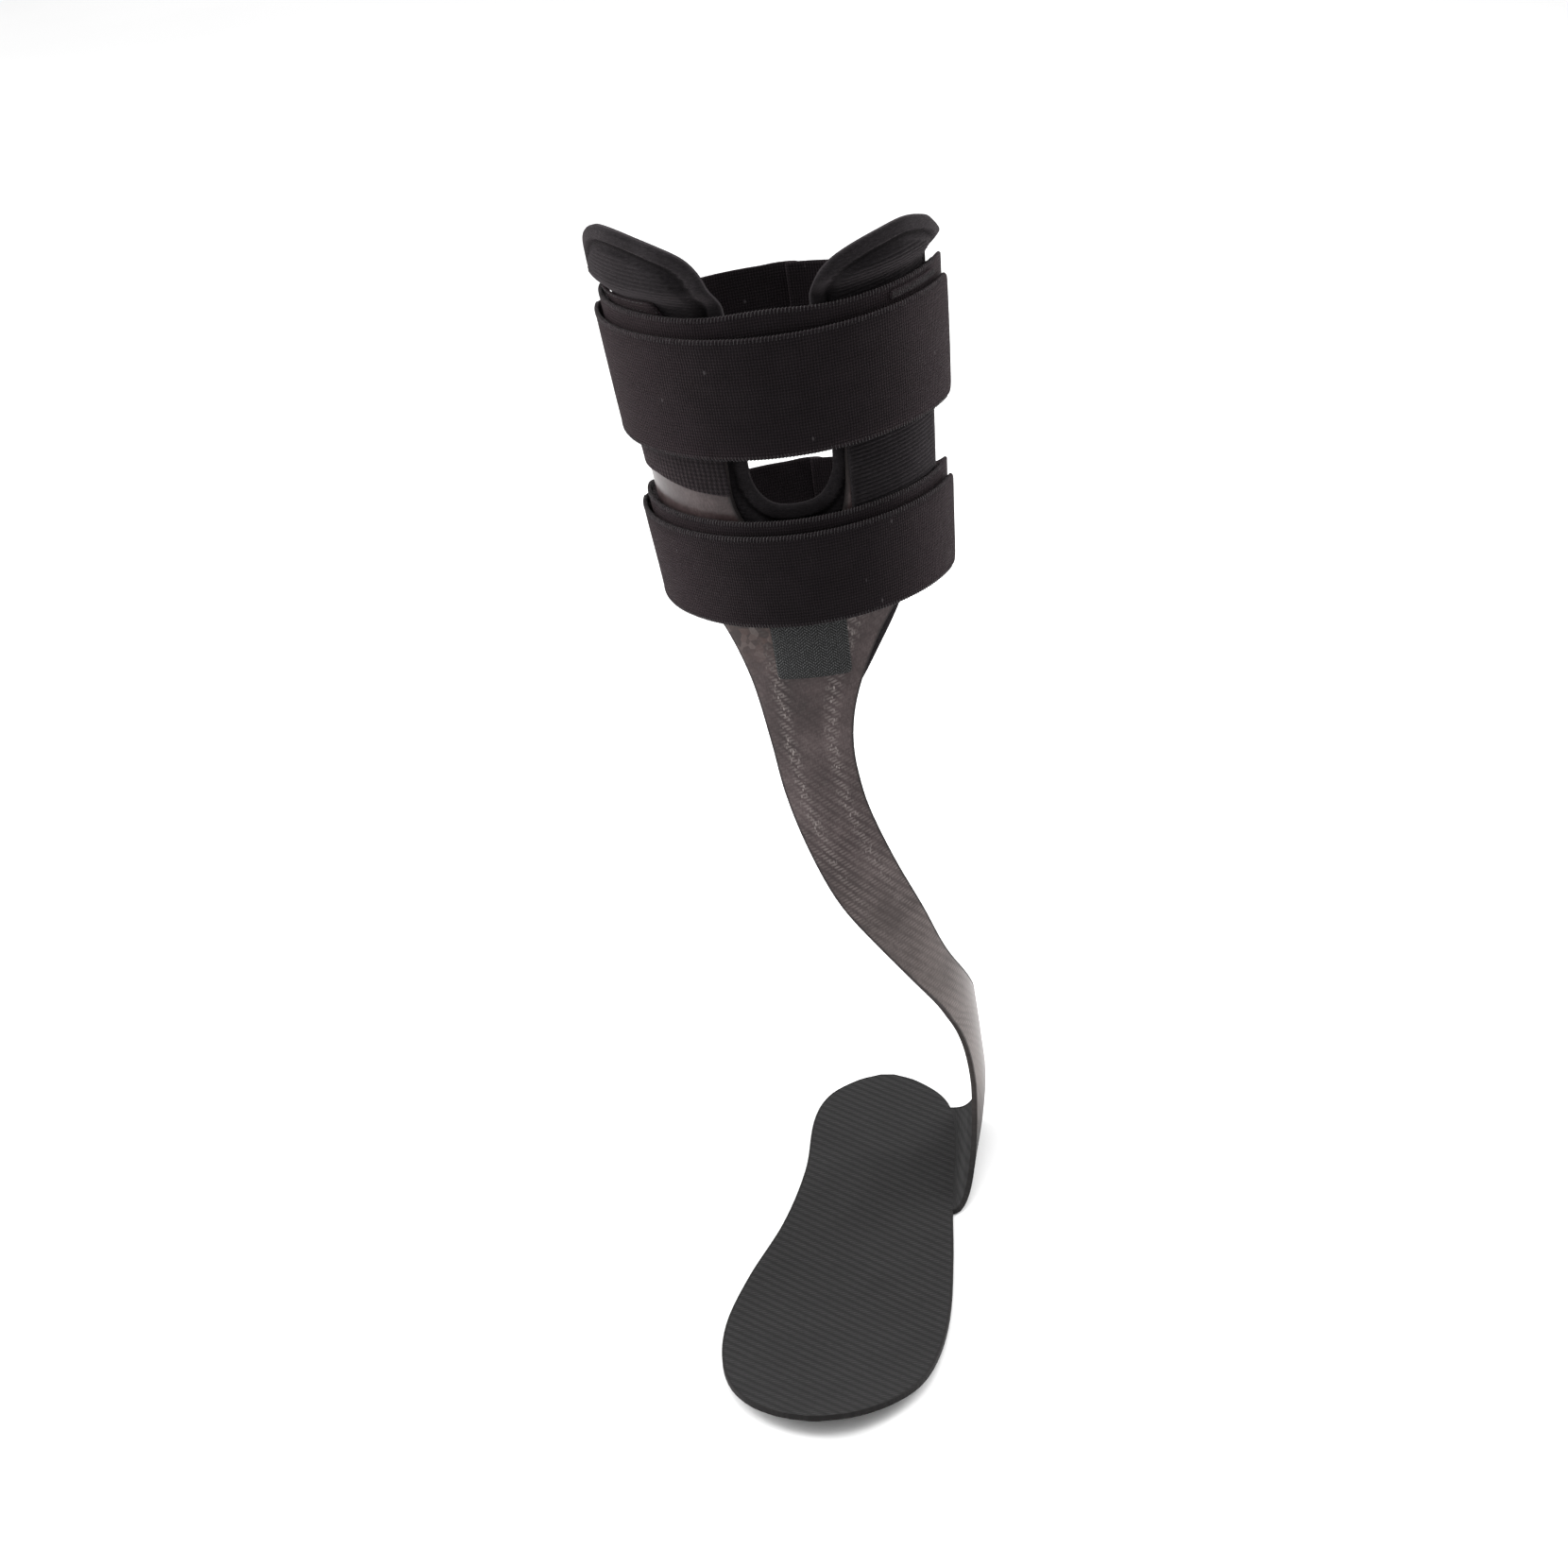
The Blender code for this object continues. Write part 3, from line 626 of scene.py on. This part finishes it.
def shell_outline():
    """Fan with two wings and a notch between them, narrowing to the strut that crosses to the outside."""
    inner_edge = smooth_line([(-84, 0.340), (-82, 0.308), (-70, 0.284), (-52, 0.267), (-37, 0.2545),
                              (-27, 0.2335), (-22.5, 0.208), (-19.5, 0.184), (-12.4, 0.161), (0, 0.136),
                              (18.5, 0.1135),
                              (36, 0.0940), (50, 0.0790), (57, STRUT_JOIN_HEIGHT)])
    outer_edge = smooth_line([(96, STRUT_JOIN_HEIGHT), (84, 0.0795), (63, 0.0995), (48, 0.1245), (34, 0.149),
                              (23.5, 0.173), (19.5, 0.190), (18.8, 0.204), (21.5, 0.218), (28, 0.2325),
                              (38, 0.2475), (53, 0.262), (70, 0.281), (80, 0.305), (83, 0.340)])
    wings = smooth_line([(83, 0.340), (81, 0.358), (70, SHELL_TOP), (55, SHELL_TOP),
                         (40, 0.3665), (33, 0.359), (30, 0.345), (29.3, 0.325), (27.8, 0.3065), (24, 0.2955),
                         (15, 0.2895), (4.5, 0.2880), (-6, 0.2895), (-15, 0.2955), (-19.5, 0.3065),
                         (-19, 0.325), (-20, 0.345), (-23, 0.359), (-30, 0.3665), (-45, SHELL_TOP),
                         (-70, SHELL_TOP), (-82, 0.358), (-84, 0.340)])
    return flat(inner_edge + outer_edge[:-1] + wings[:-1])


def liner_outline():
    """Pad that follows the shell's wings, with a window between them that shows the shin."""
    inner_edge = smooth_line([(-92, 0.365), (-91, 0.310), (-76, 0.276), (-53, 0.258), (-33, 0.2465),
                              (-17, 0.235), (-2, 0.2245), (14, 0.2195), (25, 0.2235), (42, 0.240),
                              (57, 0.2545), (76, 0.275), (89, 0.305), (92, 0.350), (92, 0.372)])
    wings = smooth_line([(92, 0.372), (90.5, 0.3845), (86, 0.3905), (80, 0.3955), (72, 0.4005), (60, 0.4035),
                         (48, 0.4025), (36, 0.3995), (27.5, 0.3950), (23, 0.3880), (22.3, 0.372),
                         (25.3, 0.345), (25.3, 0.3205), (23.5, 0.3110), (17, 0.3040), (6, 0.3020),
                         (-4.5, 0.3035), (-11, 0.3100), (-12.5, 0.3200), (-11, 0.345), (-10, 0.372),
                         (-12, 0.390), (-17.5, 0.4010), (-28, 0.4070), (-43, 0.4115), (-56, LINER_TOP),
                         (-65, 0.4098), (-72, 0.4058), (-79, 0.3998), (-85, 0.3920), (-90, 0.3810),
                         (-92, 0.365)])
    return flat(inner_edge[:-1] + wings[:-1])


# ---------------------------------------------------------------- the carbon frame

def plate_edges(y):
    """Inner and outer edge of the foot plate at a place along the foot."""
    inner = follow(y, ((PLATE_TOE_Y, -0.004), (-0.1925, -0.0145), (-0.184, -0.0275), (-0.1700, -0.0372),
                       (-0.150, -0.0430), (-0.125, -0.0445), (-0.095, -0.0405), (-0.055, -0.0315),
                       (-0.015, -0.0275), (0.025, -0.0285), (0.045, -0.0240), (0.0575, -0.0130),
                       (PLATE_HEEL_Y, -0.004)))
    outer = follow(y, ((PLATE_TOE_Y, 0.000), (-0.1925, 0.0105), (-0.184, 0.0235), (-0.1700, 0.0340),
                       (-0.150, 0.0395), (-0.120, 0.0415), (-0.080, 0.0395), (-0.040, 0.0360),
                       (0.000, 0.0335), (0.030, 0.0300), (0.045, 0.0235), (0.0575, 0.0110),
                       (PLATE_HEEL_Y, 0.002)))
    return float(inner), float(outer)


def plate_height(y):
    t = max((PLATE_SPRING_START_Y - y) / (PLATE_SPRING_START_Y - PLATE_TOE_Y), 0.0)
    return PLATE_THICKNESS / 2 + PLATE_SPRING_RISE * t * t


def strut_strand(share, top):
    """Points up one strand of the strut, from just off the plate's edge to just short of its top point."""
    middle = CARBON[0] + CARBON[1] / 2
    top_angle, top_height = top
    low_angle = 70 + 34 * share
    low_height = STRUT_LANDING_HEIGHT
    rise = top_height - low_height
    y = STRUT_BASE_FRONT_Y + (STRUT_BASE_REAR_Y - STRUT_BASE_FRONT_Y) * share
    foot = np.array((plate_edges(y)[1], y, plate_height(y)))
    landing = limb_points(low_angle, low_height, middle)
    handles = (foot, foot + np.array((0.0085, 0, 0)), landing - np.array((0, 0, 0.022)), landing)
    strand = []
    for k in range(1, 17):
        t = k / 16
        weights = ((1 - t)**3, 3 * t * (1 - t)**2, 3 * t**2 * (1 - t), t**3)
        strand.append(sum(h * w for h, w in zip(handles, weights)))
    swing = STRUT_TOP_LEAN * rise
    for k in range(1, 14):
        t = k / 14
        angle = (low_angle + (top_angle - low_angle) * (3 * t**2 - 2 * t**3)
                 + swing * (t**3 - t**2) + STRUT_FOOT_LEAN * rise * (t**3 - 2 * t**2 + t))
        strand.append(limb_points(angle, low_height + rise * t, middle))
    return strand


def share_across(uv, outline):
    """How far across its own row each point of a flat pattern lies, from 0 to 1."""
    points = np.array(outline)
    ends = np.roll(points, -1, axis=0)
    share = np.zeros(len(uv))
    for k, (u, v) in enumerate(uv):
        crossing = (points[:, 1] - v) * (ends[:, 1] - v) <= 0
        a, b = points[crossing], ends[crossing]
        run = np.where(np.abs(b[:, 1] - a[:, 1]) < 1e-9, 1.0, b[:, 1] - a[:, 1])
        where = a[:, 0] + (b[:, 0] - a[:, 0]) * np.clip((v - a[:, 1]) / run, 0, 1)
        share[k] = (u - where.min()) / max(where.max() - where.min(), 1e-6)
    return share


def carbon_frame(material):
    """Foot plate, strut and shin shell laid up in one piece."""
    outline = shell_outline()
    bm = flat_cells(outline, (0.0026, 0.0030))
    uv = np.array([vert.co[:2] for vert in bm.verts])
    faces = [[vert.index for vert in face.verts] for face in bm.faces]
    bm.free()
    share = share_across(uv, outline)
    verts = list(limb_points(uv[:, 0] / METRES_PER_DEGREE, uv[:, 1], CARBON[0] + CARBON[1] / 2))
    uvs = [tuple(point) for point in uv]
    across = list(share)

    join = [k for k in range(len(uv)) if abs(uv[k, 1] - STRUT_JOIN_HEIGHT) < 1e-6]
    join.sort(key=lambda k: uv[k, 0])
    first_u, last_u = uv[join[0], 0], uv[join[-1], 0]
    strands = []
    for k in join:
        part = (uv[k, 0] - first_u) / (last_u - first_u)
        points = strut_strand(part, (uv[k, 0] / METRES_PER_DEGREE, STRUT_JOIN_HEIGHT))
        row = []
        below = STRUT_JOIN_HEIGHT - STRUT_PATTERN_LENGTH
        for i, point in enumerate(points):
            row.append(len(verts))
            verts.append(point)
            uvs.append((uv[k, 0], below + STRUT_PATTERN_LENGTH * (i + 1) / (len(points) + 1)))
            across.append(part)
        strands.append((part, row + [k]))

    toe = [PLATE_TOE_Y + 0.0445 * t**1.7 for t in np.linspace(0, 1, 16)[:-1]]
    middle = list(np.linspace(-0.1505, STRUT_BASE_FRONT_Y, 30)[:-1])
    strut = [STRUT_BASE_FRONT_Y + (STRUT_BASE_REAR_Y - STRUT_BASE_FRONT_Y) * part for part, _ in strands]
    heel = [PLATE_HEEL_Y - (PLATE_HEEL_Y - STRUT_BASE_REAR_Y) * t**1.6 for t in np.linspace(1, 0, 14)[1:]]
    columns = 28
    rows = []
    for y in toe + middle + strut + heel:
        inner, outer = plate_edges(y)
        row = []
        for k in range(columns + 1):
            t = k / columns
            x = inner + (outer - inner) * t
            row.append(len(verts))
            verts.append(np.array((x, y, plate_height(y))))
            uvs.append((x, y))
            across.append(t)
        rows.append(row)
    first = len(toe) + len(middle)
    for k, (_, strand) in enumerate(strands):
        rows[first + k] += strand
    for row, following in zip(rows, rows[1:]):
        for k in range(min(len(row), len(following)) - 1):
            faces.append([row[k], row[k + 1], following[k + 1], following[k]])
    plate = [float(ease(-vert[2], -0.040, -0.008)) for vert in verts]
    item = mesh_object("carbon_frame", verts, faces, uvs, [material], {"across": across, "plate": plate})
    add_edge_distance(item)
    solid = item.modifiers.new("thickness", "SOLIDIFY")
    solid.thickness = CARBON[1]
    solid.offset = 0.0
    solid.use_even_offset = True
    soften = item.modifiers.new("soft_edges", "BEVEL")
    soften.width = 0.0005
    soften.segments = 2
    soften.limit_method = "ANGLE"
    soften.angle_limit = math.radians(50)
    apply_modifiers(item)
    return item


def add_edge_distance(item):
    """How far each point of an open sheet is from its nearest open edge."""
    bm = bmesh.new()
    bm.from_mesh(item.data)
    rim = np.array([vert.co[:] for vert in bm.verts if vert.is_boundary])
    bm.free()
    near = []
    for vert in item.data.vertices:
        near.append(math.sqrt(((rim - np.array(vert.co))**2).sum(1).min()))
    attribute = item.data.attributes.new("edge", "FLOAT", "POINT")
    attribute.data.foreach_set("value", np.array(near, np.float32))


def apply_modifiers(item):
    graph = bpy.context.evaluated_depsgraph_get()
    mesh = bpy.data.meshes.new_from_object(item.evaluated_get(graph))
    item.modifiers.clear()
    item.data = mesh


# ---------------------------------------------------------------- the liner

FLANGE_WIDTH = 0.0062
RIB_PITCH = 0.00165
PANEL_RIB = 0.00026


def liner_front(edge, u, v):
    """Soft flange, welded groove, then the ribbed pad."""
    base = np.sqrt(1 - (1 - np.clip(edge / 0.0016, 0, 1))**2)
    flange = 0.0020 + 0.0021 * base
    pad = 0.0046 * ease(edge, FLANGE_WIDTH + 0.0004, FLANGE_WIDTH + 0.0032)
    height = np.maximum(flange * (1 - ease(edge, FLANGE_WIDTH - 0.0012, FLANGE_WIDTH)), 0.0029)
    height = np.maximum(height, pad)
    ribbed = ease(edge, FLANGE_WIDTH + 0.0016, FLANGE_WIDTH + 0.0040)
    strength = 0.00014 + 0.00016 * ease(u, -0.005, 0.02)
    rib = strength * np.cos(2 * math.pi * (v - 0.10 * np.abs(u)) / RIB_PITCH) * ribbed
    soft = 0.00018 * ripple(np.stack((u, v), 1), 0.012, 3.0)
    return height + rib + soft * ease(edge, 0, 0.003) + flare(v)


def liner_valley(edge, u, v):
    """Painted shade for the liner: how much the welded groove and the gaps between the ribs are darkened."""
    groove = ease(edge, FLANGE_WIDTH - 0.0012, FLANGE_WIDTH) * (1 - ease(edge, FLANGE_WIDTH + 0.0004,
                                                                        FLANGE_WIDTH + 0.0018))
    strength = 0.35 + 0.65 * ease(u, -0.005, 0.02)
    gaps = np.clip(-np.cos(2 * math.pi * (v - 0.10 * np.abs(u)) / RIB_PITCH), 0, 1)
    return np.maximum(groove, strength * gaps * ease(edge, FLANGE_WIDTH + 0.0016, FLANGE_WIDTH + 0.0040))


def liner_back(edge, u, v):
    curl = 1 - np.clip(edge / 0.0016, 0, 1)
    return 0.0002 + 0.0012 * curl**2 + flare(v)


def liner(material):
    cell = (0.0016, 0.00041)
    item = closed_sheet("liner", liner_outline(), cell, liner_front, liner_back, [material],
                        insets=(0.0003, 0.0006, 0.0008), valley=liner_valley)
    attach(item, "shin")
    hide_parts("liner_pad")


# ---------------------------------------------------------------- what is stuck and sewn to the shell

def simple_piece(name, outline, layer, material, body, replaced, cell=(0.0025, 0.004), course=level,
                 relief=nothing, roll=0.0005, spread=nothing, valley=nothing):
    front, back = band_profile(layer, roll=roll)
    item = closed_sheet(name, outline, cell,
                        lambda edge, u, v: front(edge, u, v) + relief(edge, u, v) + spread(v),
                        lambda edge, u, v: back(edge, u, v) + spread(v),
                        [material], course=course, insets=(0.0002, 0.0003), valley=valley)
    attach(item, body)
    if replaced:
        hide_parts(replaced)
    return item


def shell_coverings(textile, fleece, hooks):
    rib = rounded(flat([(29.0, 0.2905), (53, 0.2885), (76, 0.2870), (79, 0.300), (79, 0.352),
                        (29.2, 0.352)]), 0.003)

    def ribs(edge, u, v):
        return PANEL_RIB * np.cos(2 * math.pi * (v - 0.07 * u) / RIB_PITCH) * ease(edge, 0.0008, 0.002)

    # The rib panel's valley amount darkens the gaps between its ribs as painted shade.
    simple_piece("rib_panel", rib, OUTER_PATCH, textile, "shin", "rib_panel_lateral",
                 cell=(0.0025, 0.00041), relief=ribs,
                 valley=lambda edge, u, v: np.clip(-ribs(edge, u, v) / PANEL_RIB, 0, 1))
    loop = rounded(flat([(-78, 0.3130), (-58, 0.3135), (-36, 0.3100), (-18.6, 0.3085), (-19.2, 0.352),
                         (-78, 0.352)]), 0.002)

    def nap(edge, u, v):
        return 0.00015 * ripple(np.stack((u, v), 1), 0.0016, 5.0)

    simple_piece("loop_panel", loop, OUTER_PATCH, fleece, "shin", "loop_panel_medial",
                 cell=(0.0012, 0.0012), relief=nap)
    simple_piece("neck_hooks", rectangle(-12, 21.5, 0.2333, 0.2890, radius=0.0022), OUTER_PATCH, hooks,
                 "shin", "neck_hook_patch")
    for name, low, high in (("medial", -62, -34), ("lateral", 36, 64)):
        simple_piece("back_hooks_" + name, rectangle(low, high, 0.318, 0.343), BACK_HOOK, hooks, "shin",
                     "liner_hook_" + name)
    simple_piece("back_hooks_lower", rectangle(-12, 18, 0.262, 0.286), BACK_HOOK, hooks, "shin",
                 "liner_hook_lower")


def run_of_stitches(start, end, pitch, offset, course=level, slant=0.0, length=0.7, spread=nothing):
    """Straight row of stitches between two (angle, height) places, each a shallow arc."""
    start, end = np.array(flat([start])[0]), np.array(flat([end])[0])
    run = end - start
    size = float(np.linalg.norm(run))
    along = run / size
    aside = np.array((-along[1], along[0]))
    paths = []
    for k in range(int(size / pitch)):
        points = []
        for t in (0.0, 0.25, 0.5, 0.75, 1.0):
            spot = start + along * pitch * (k + length * t) + aside * slant * (t - 0.5)
            angle = spot[0] / METRES_PER_DEGREE
            rise = offset - 0.00012 + 0.00024 * math.sin(math.pi * t) + spread(spot[1])
            points.append(limb_points(angle, course(angle, spot[1]), rise))
        paths.append(points)
    return paths


TAB_STITCH = 0.0021


def sewn_tabs(knit, thread):
    """A sewn tab on the inner wing of the liner, and a zigzagged one on the upper strap's outer side."""
    medial = rounded(flat([(-76, 0.3705), (-33, 0.3705), (-33, 0.3775), (-37, 0.3848), (-76, 0.3848)]), 0.002)
    simple_piece("wing_tab", medial, WING_PATCH, knit, "shin", "stitched_tab_medial",
                 spread=flare)
    top = WING_PATCH[0] + WING_PATCH[1] + 0.0001
    rows = []
    for start, end in (((-75, 0.3841), (-38.5, 0.3841)), ((-37.2, 0.3832), (-34, 0.3780)),
                       ((-75.3, 0.3838), (-75.3, 0.3715))):
        rows += run_of_stitches(start, end, TAB_STITCH, top, spread=flare)
    for k in range(4):
        height = 0.3825 - 0.0019 * k
        rows += run_of_stitches((-71, height), (-39, height), TAB_STITCH, top, slant=0.0003, spread=flare)
    stitches = threads("wing_tab_stitches", rows, 0.00017, thread)
    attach(stitches, "shin")
    lateral = rectangle(50, 76, 0.3735, 0.3768, radius=0.001)
    simple_piece("strap_tab", lateral, STRAP_TAB, knit, "shin", "stitched_tab_lateral",
                 course=dipped)
    top = STRAP_TAB[0] + STRAP_TAB[1] + 0.0001
    zigzag = []
    for k in range(26):
        angle = 50.6 + k * 0.98
        zigzag += run_of_stitches((angle, 0.3738), (angle + 1.2, 0.3766), 0.0030, top, course=dipped,
                                  length=0.95)
    stitches = threads("strap_tab_stitches", zigzag, 0.00014, thread)
    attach(stitches, "shin")


# ---------------------------------------------------------------- straps

LAP_START = -183.0
LAP_RISE = 0.0018
LAP_STITCH = 0.0026
CLIMB = STRAP_OUTER[0] - STRAP_INNER[0]


def climb(angle):
    """The band moves from the inner layer to the outer one as it goes round the back."""
    return CLIMB * ease(np.asarray(angle, float), 95, 260)


def whip_stitches(low_angle, high_angle, edge_height, sign, layer, course=dipped, pitch_deg=1.25):
    """Overlock stitches that wrap a band's edge; sign is +1 along its top edge and -1 along its bottom."""
    base, thickness = layer
    paths = []
    for k in range(int((high_angle - low_angle) / pitch_deg)):
        angle = low_angle + pitch_deg * (k + 0.5)
        middle = base + thickness / 2
        path = []
        for turn in np.linspace(-0.5, 1.5, 7):
            around = math.pi * turn
            reach = 0.0011 * max(math.cos(around - math.pi / 2), -1.0)
            inward = -0.0010 if turn in (-0.5, 1.5) else 0.0
            spread = (thickness / 2 + 0.00008) * math.cos(math.pi * (turn + 0.5) / 2)
            place = edge_height + sign * (min(reach, 0.00012) + inward * 0.6)
            lean = angle + 0.55 * (turn - 0.5)
            path.append(limb_points(lean, course(lean, place), middle + spread))
        paths.append(path)
    return paths


def bind_to(item, first, second, start, end, slot):
    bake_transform(item)


def strap(prefix, low, high, inner_rise, knit, hooks, thread, bridge_rise=0.0):
    """One band wound twice across the front.

    Both halves stay where they are built and are bound to none of the shin, the rear part or the flap; only
    the lap stitches go with the rear part and the end hooks with the peeling flap.  The halves are sewn
    together at the back.
    """
    body_rear, body_flap = prefix + "_rear", prefix + "_flap"
    shift = inner_rise / 2
    cell = (0.0022, 0.006)

    def first_course(angle, height):
        bridge = bridge_rise * np.exp(-((np.asarray(angle, float) - 6) / 17)**2)
        return dipped(angle, height) - inner_rise * ease(angle, 80, 130) / 2 + bridge

    def second_course(angle, height):
        return dipped(angle, height) + inner_rise * (1 - ease(angle, -145, -95)) / 2

    def second_lift(angle):
        lap = LAP_RISE * (1 - ease(angle, LAP_START + 9, LAP_START + 17))
        return np.where(angle < -90, climb(np.minimum(angle + 360, 270)) - CLIMB, 0.0) + lap

    outline = rectangle(-95, 184, low + inner_rise, high + inner_rise, radius=0.0008)
    front, back = band_profile(STRAP_INNER, lift=climb, wave=0.00012)
    first = closed_sheet(prefix + "_band_first", outline, cell, front, back, [knit], course=first_course)
    outline = rectangle(LAP_START, 87, low, high, radius=0.005)
    front, back = band_profile(STRAP_OUTER, lift=second_lift, wave=0.00012)
    second = closed_sheet(prefix + "_band_second", outline, cell, front, back, [knit], course=second_course)
    middle = (low + high) / 2 + shift
    outer_side = limb_points(90.0, dipped(90.0, middle), STRAP_INNER[0])
    inner_side = limb_points(-90.0, dipped(-90.0, middle), STRAP_OUTER[0])
    lean_out = np.array((0.5, 1.0, 0.0)) / math.hypot(0.5, 1.0)
    lean_in = np.array((0.5, -1.0, 0.0)) / math.hypot(0.5, 1.0)
    gate_first = (outer_side - 0.004 * lean_out, outer_side + 0.006 * lean_out)
    gate_second = (inner_side - 0.005 * lean_in, inner_side + 0.005 * lean_in)
    bind_to(first, "shin", body_rear, *gate_first, "strap_knit")
    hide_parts(prefix + "_strap_inner")
    bind_to(second, body_rear, body_flap, *gate_second, "strap_knit")
    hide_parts(prefix + "_strap_rear", prefix + "_strap_flap")

    def sewn_edge(name, low_angle, high_angle, edge_height, sign, layer, gate, bodies, course):
        paths = whip_stitches(low_angle, high_angle, edge_height, sign, layer, course)
        item = threads(prefix + name, paths, 0.00013, thread, sides=4)
        bind_to(item, *bodies, *gate, "strap_knit")

    shin_rear, rear_flap = ("shin", body_rear), (body_rear, body_flap)
    for label, sign in (("_top", 1), ("_bottom", -1)):
        height = high if sign > 0 else low
        sewn_edge("_inner_stitches" + label, -94, 80, height + inner_rise, sign, STRAP_INNER, gate_first,
                  shin_rear, first_course)
        sewn_edge("_flap_stitches" + label, -88, 81, height, sign, STRAP_OUTER, gate_second, rear_flap,
                  dipped)

    lap = []
    for k in range(2):
        angle = LAP_START + 1.6 + 4.6 * k
        lift = STRAP_OUTER[0] + STRAP_OUTER[1] + float(second_lift(angle)) + 0.0001
        lap += run_of_stitches((angle, low + 0.003), (angle, high - 0.003), LAP_STITCH, lift,
                               course=second_course)
    lap_seam = threads(prefix + "_lap_stitches", lap, 0.00018, thread)
    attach(lap_seam, body_rear)

    hook = rectangle(60, 85, low + 0.005, high - 0.004, radius=0.003)
    simple_piece(prefix + "_end_hooks", hook, STRAP_HOOK, hooks, body_flap, prefix + "_strap_hook",
                 course=dipped)


# ---------------------------------------------------------------- stage, light, camera

def camera():
    """Looks down on the front of the brace from the outside, rolled a little."""
    place = Vector((0.1727, -1.1784, 0.7333))
    yaw, pitch, roll = math.radians(9.51), math.radians(25.13), math.radians(-5.09)
    back = Vector((math.sin(yaw) * math.cos(pitch), -math.cos(yaw) * math.cos(pitch), math.sin(pitch)))
    right = Vector((math.cos(yaw), math.sin(yaw), 0))
    up = back.cross(right)
    right, up = (math.cos(roll) * right + math.sin(roll) * up, -math.sin(roll) * right + math.cos(roll) * up)
    data = bpy.data.cameras.new("camera")
    data.sensor_width = 36
    data.lens = 76.08
    item = bpy.data.objects.new("camera", data)
    item.matrix_world = Matrix.Translation(place) @ Matrix((right, up, back)).transposed().to_4x4()
    bpy.context.scene.collection.objects.link(item)
    bpy.context.scene.camera = item


def area_light(name, place, aim, size, power, color=(1, 1, 1)):
    data = bpy.data.lights.new(name, "AREA")
    data.shape = "RECTANGLE"
    data.size, data.size_y = size
    data.energy = power
    data.color = color
    item = bpy.data.objects.new(name, data)
    item.location = place
    item.rotation_euler = (Vector(aim) - Vector(place)).to_track_quat("-Z", "Y").to_euler()
    bpy.context.scene.collection.objects.link(item)


def studio():
    scene = bpy.context.scene
    scene.view_settings.view_transform = "Standard"
    world = bpy.data.worlds.new("studio")
    scene.world = world
    world.use_nodes = True
    sky = world.node_tree.nodes["Background"]
    sky.inputs["Color"].default_value = (1.0, 1.0, 1.0, 1.0)
    sky.inputs["Strength"].default_value = 1.0
    area_light("left_softbox", (-1.5, 0.1, 0.9), (0, 0, 0.25), (0.9, 1.4), 34)
    area_light("right_softbox", (1.2, 1.0, 0.5), (0, 0, 0.15), (0.9, 1.2), 36)
    area_light("top_softbox", (-0.2, -0.5, 1.9), (0, 0, 0.2), (1.2, 1.2), 12)
    floor_material = Nodes("floor")
    point = floor_material.add("ShaderNodeTexCoord").outputs["Object"]
    shade = floor_material.fade(floor_material.noise(point, 3.0), (0.3, 0.86), (0.7, 0.89))
    floor_material.finish(shade, 0.9, Specular_IOR_Level=0.1)
    bpy.ops.mesh.primitive_circle_add(vertices=96, radius=6.0, fill_type="NGON", location=(0, 0, -0.0004))
    floor = bpy.context.object
    floor.name = "floor"
    floor.data.materials.append(floor_material.material)


# ---------------------------------------------------------------- assembly

camera()
studio()
CARBON_WEAVE = carbon_weave()
TEXTILE = ribbed_textile()
KNIT = knitted("strap_knit", (0.0020, 0.0015, 0.0018), (0.020, 0.0158, 0.0180))
FLEECE = knitted("loop_fleece", (0.0030, 0.0024, 0.0027), (0.024, 0.0205, 0.0225), wale=0.0021, course=0.0017)
HOOKS = hook_tape()
THREAD = sewing_thread()

carbon = carbon_frame(CARBON_WEAVE)
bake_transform(carbon)
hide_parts("foot_plate", "shin_shell")
liner(TEXTILE)
shell_coverings(TEXTILE, FLEECE, HOOKS)
sewn_tabs(KNIT, THREAD)
strap("upper", knit=KNIT, hooks=HOOKS, thread=THREAD, bridge_rise=0.0022, **UPPER_STRAP)
strap("lower", knit=KNIT, hooks=HOOKS, thread=THREAD, **LOWER_STRAP)
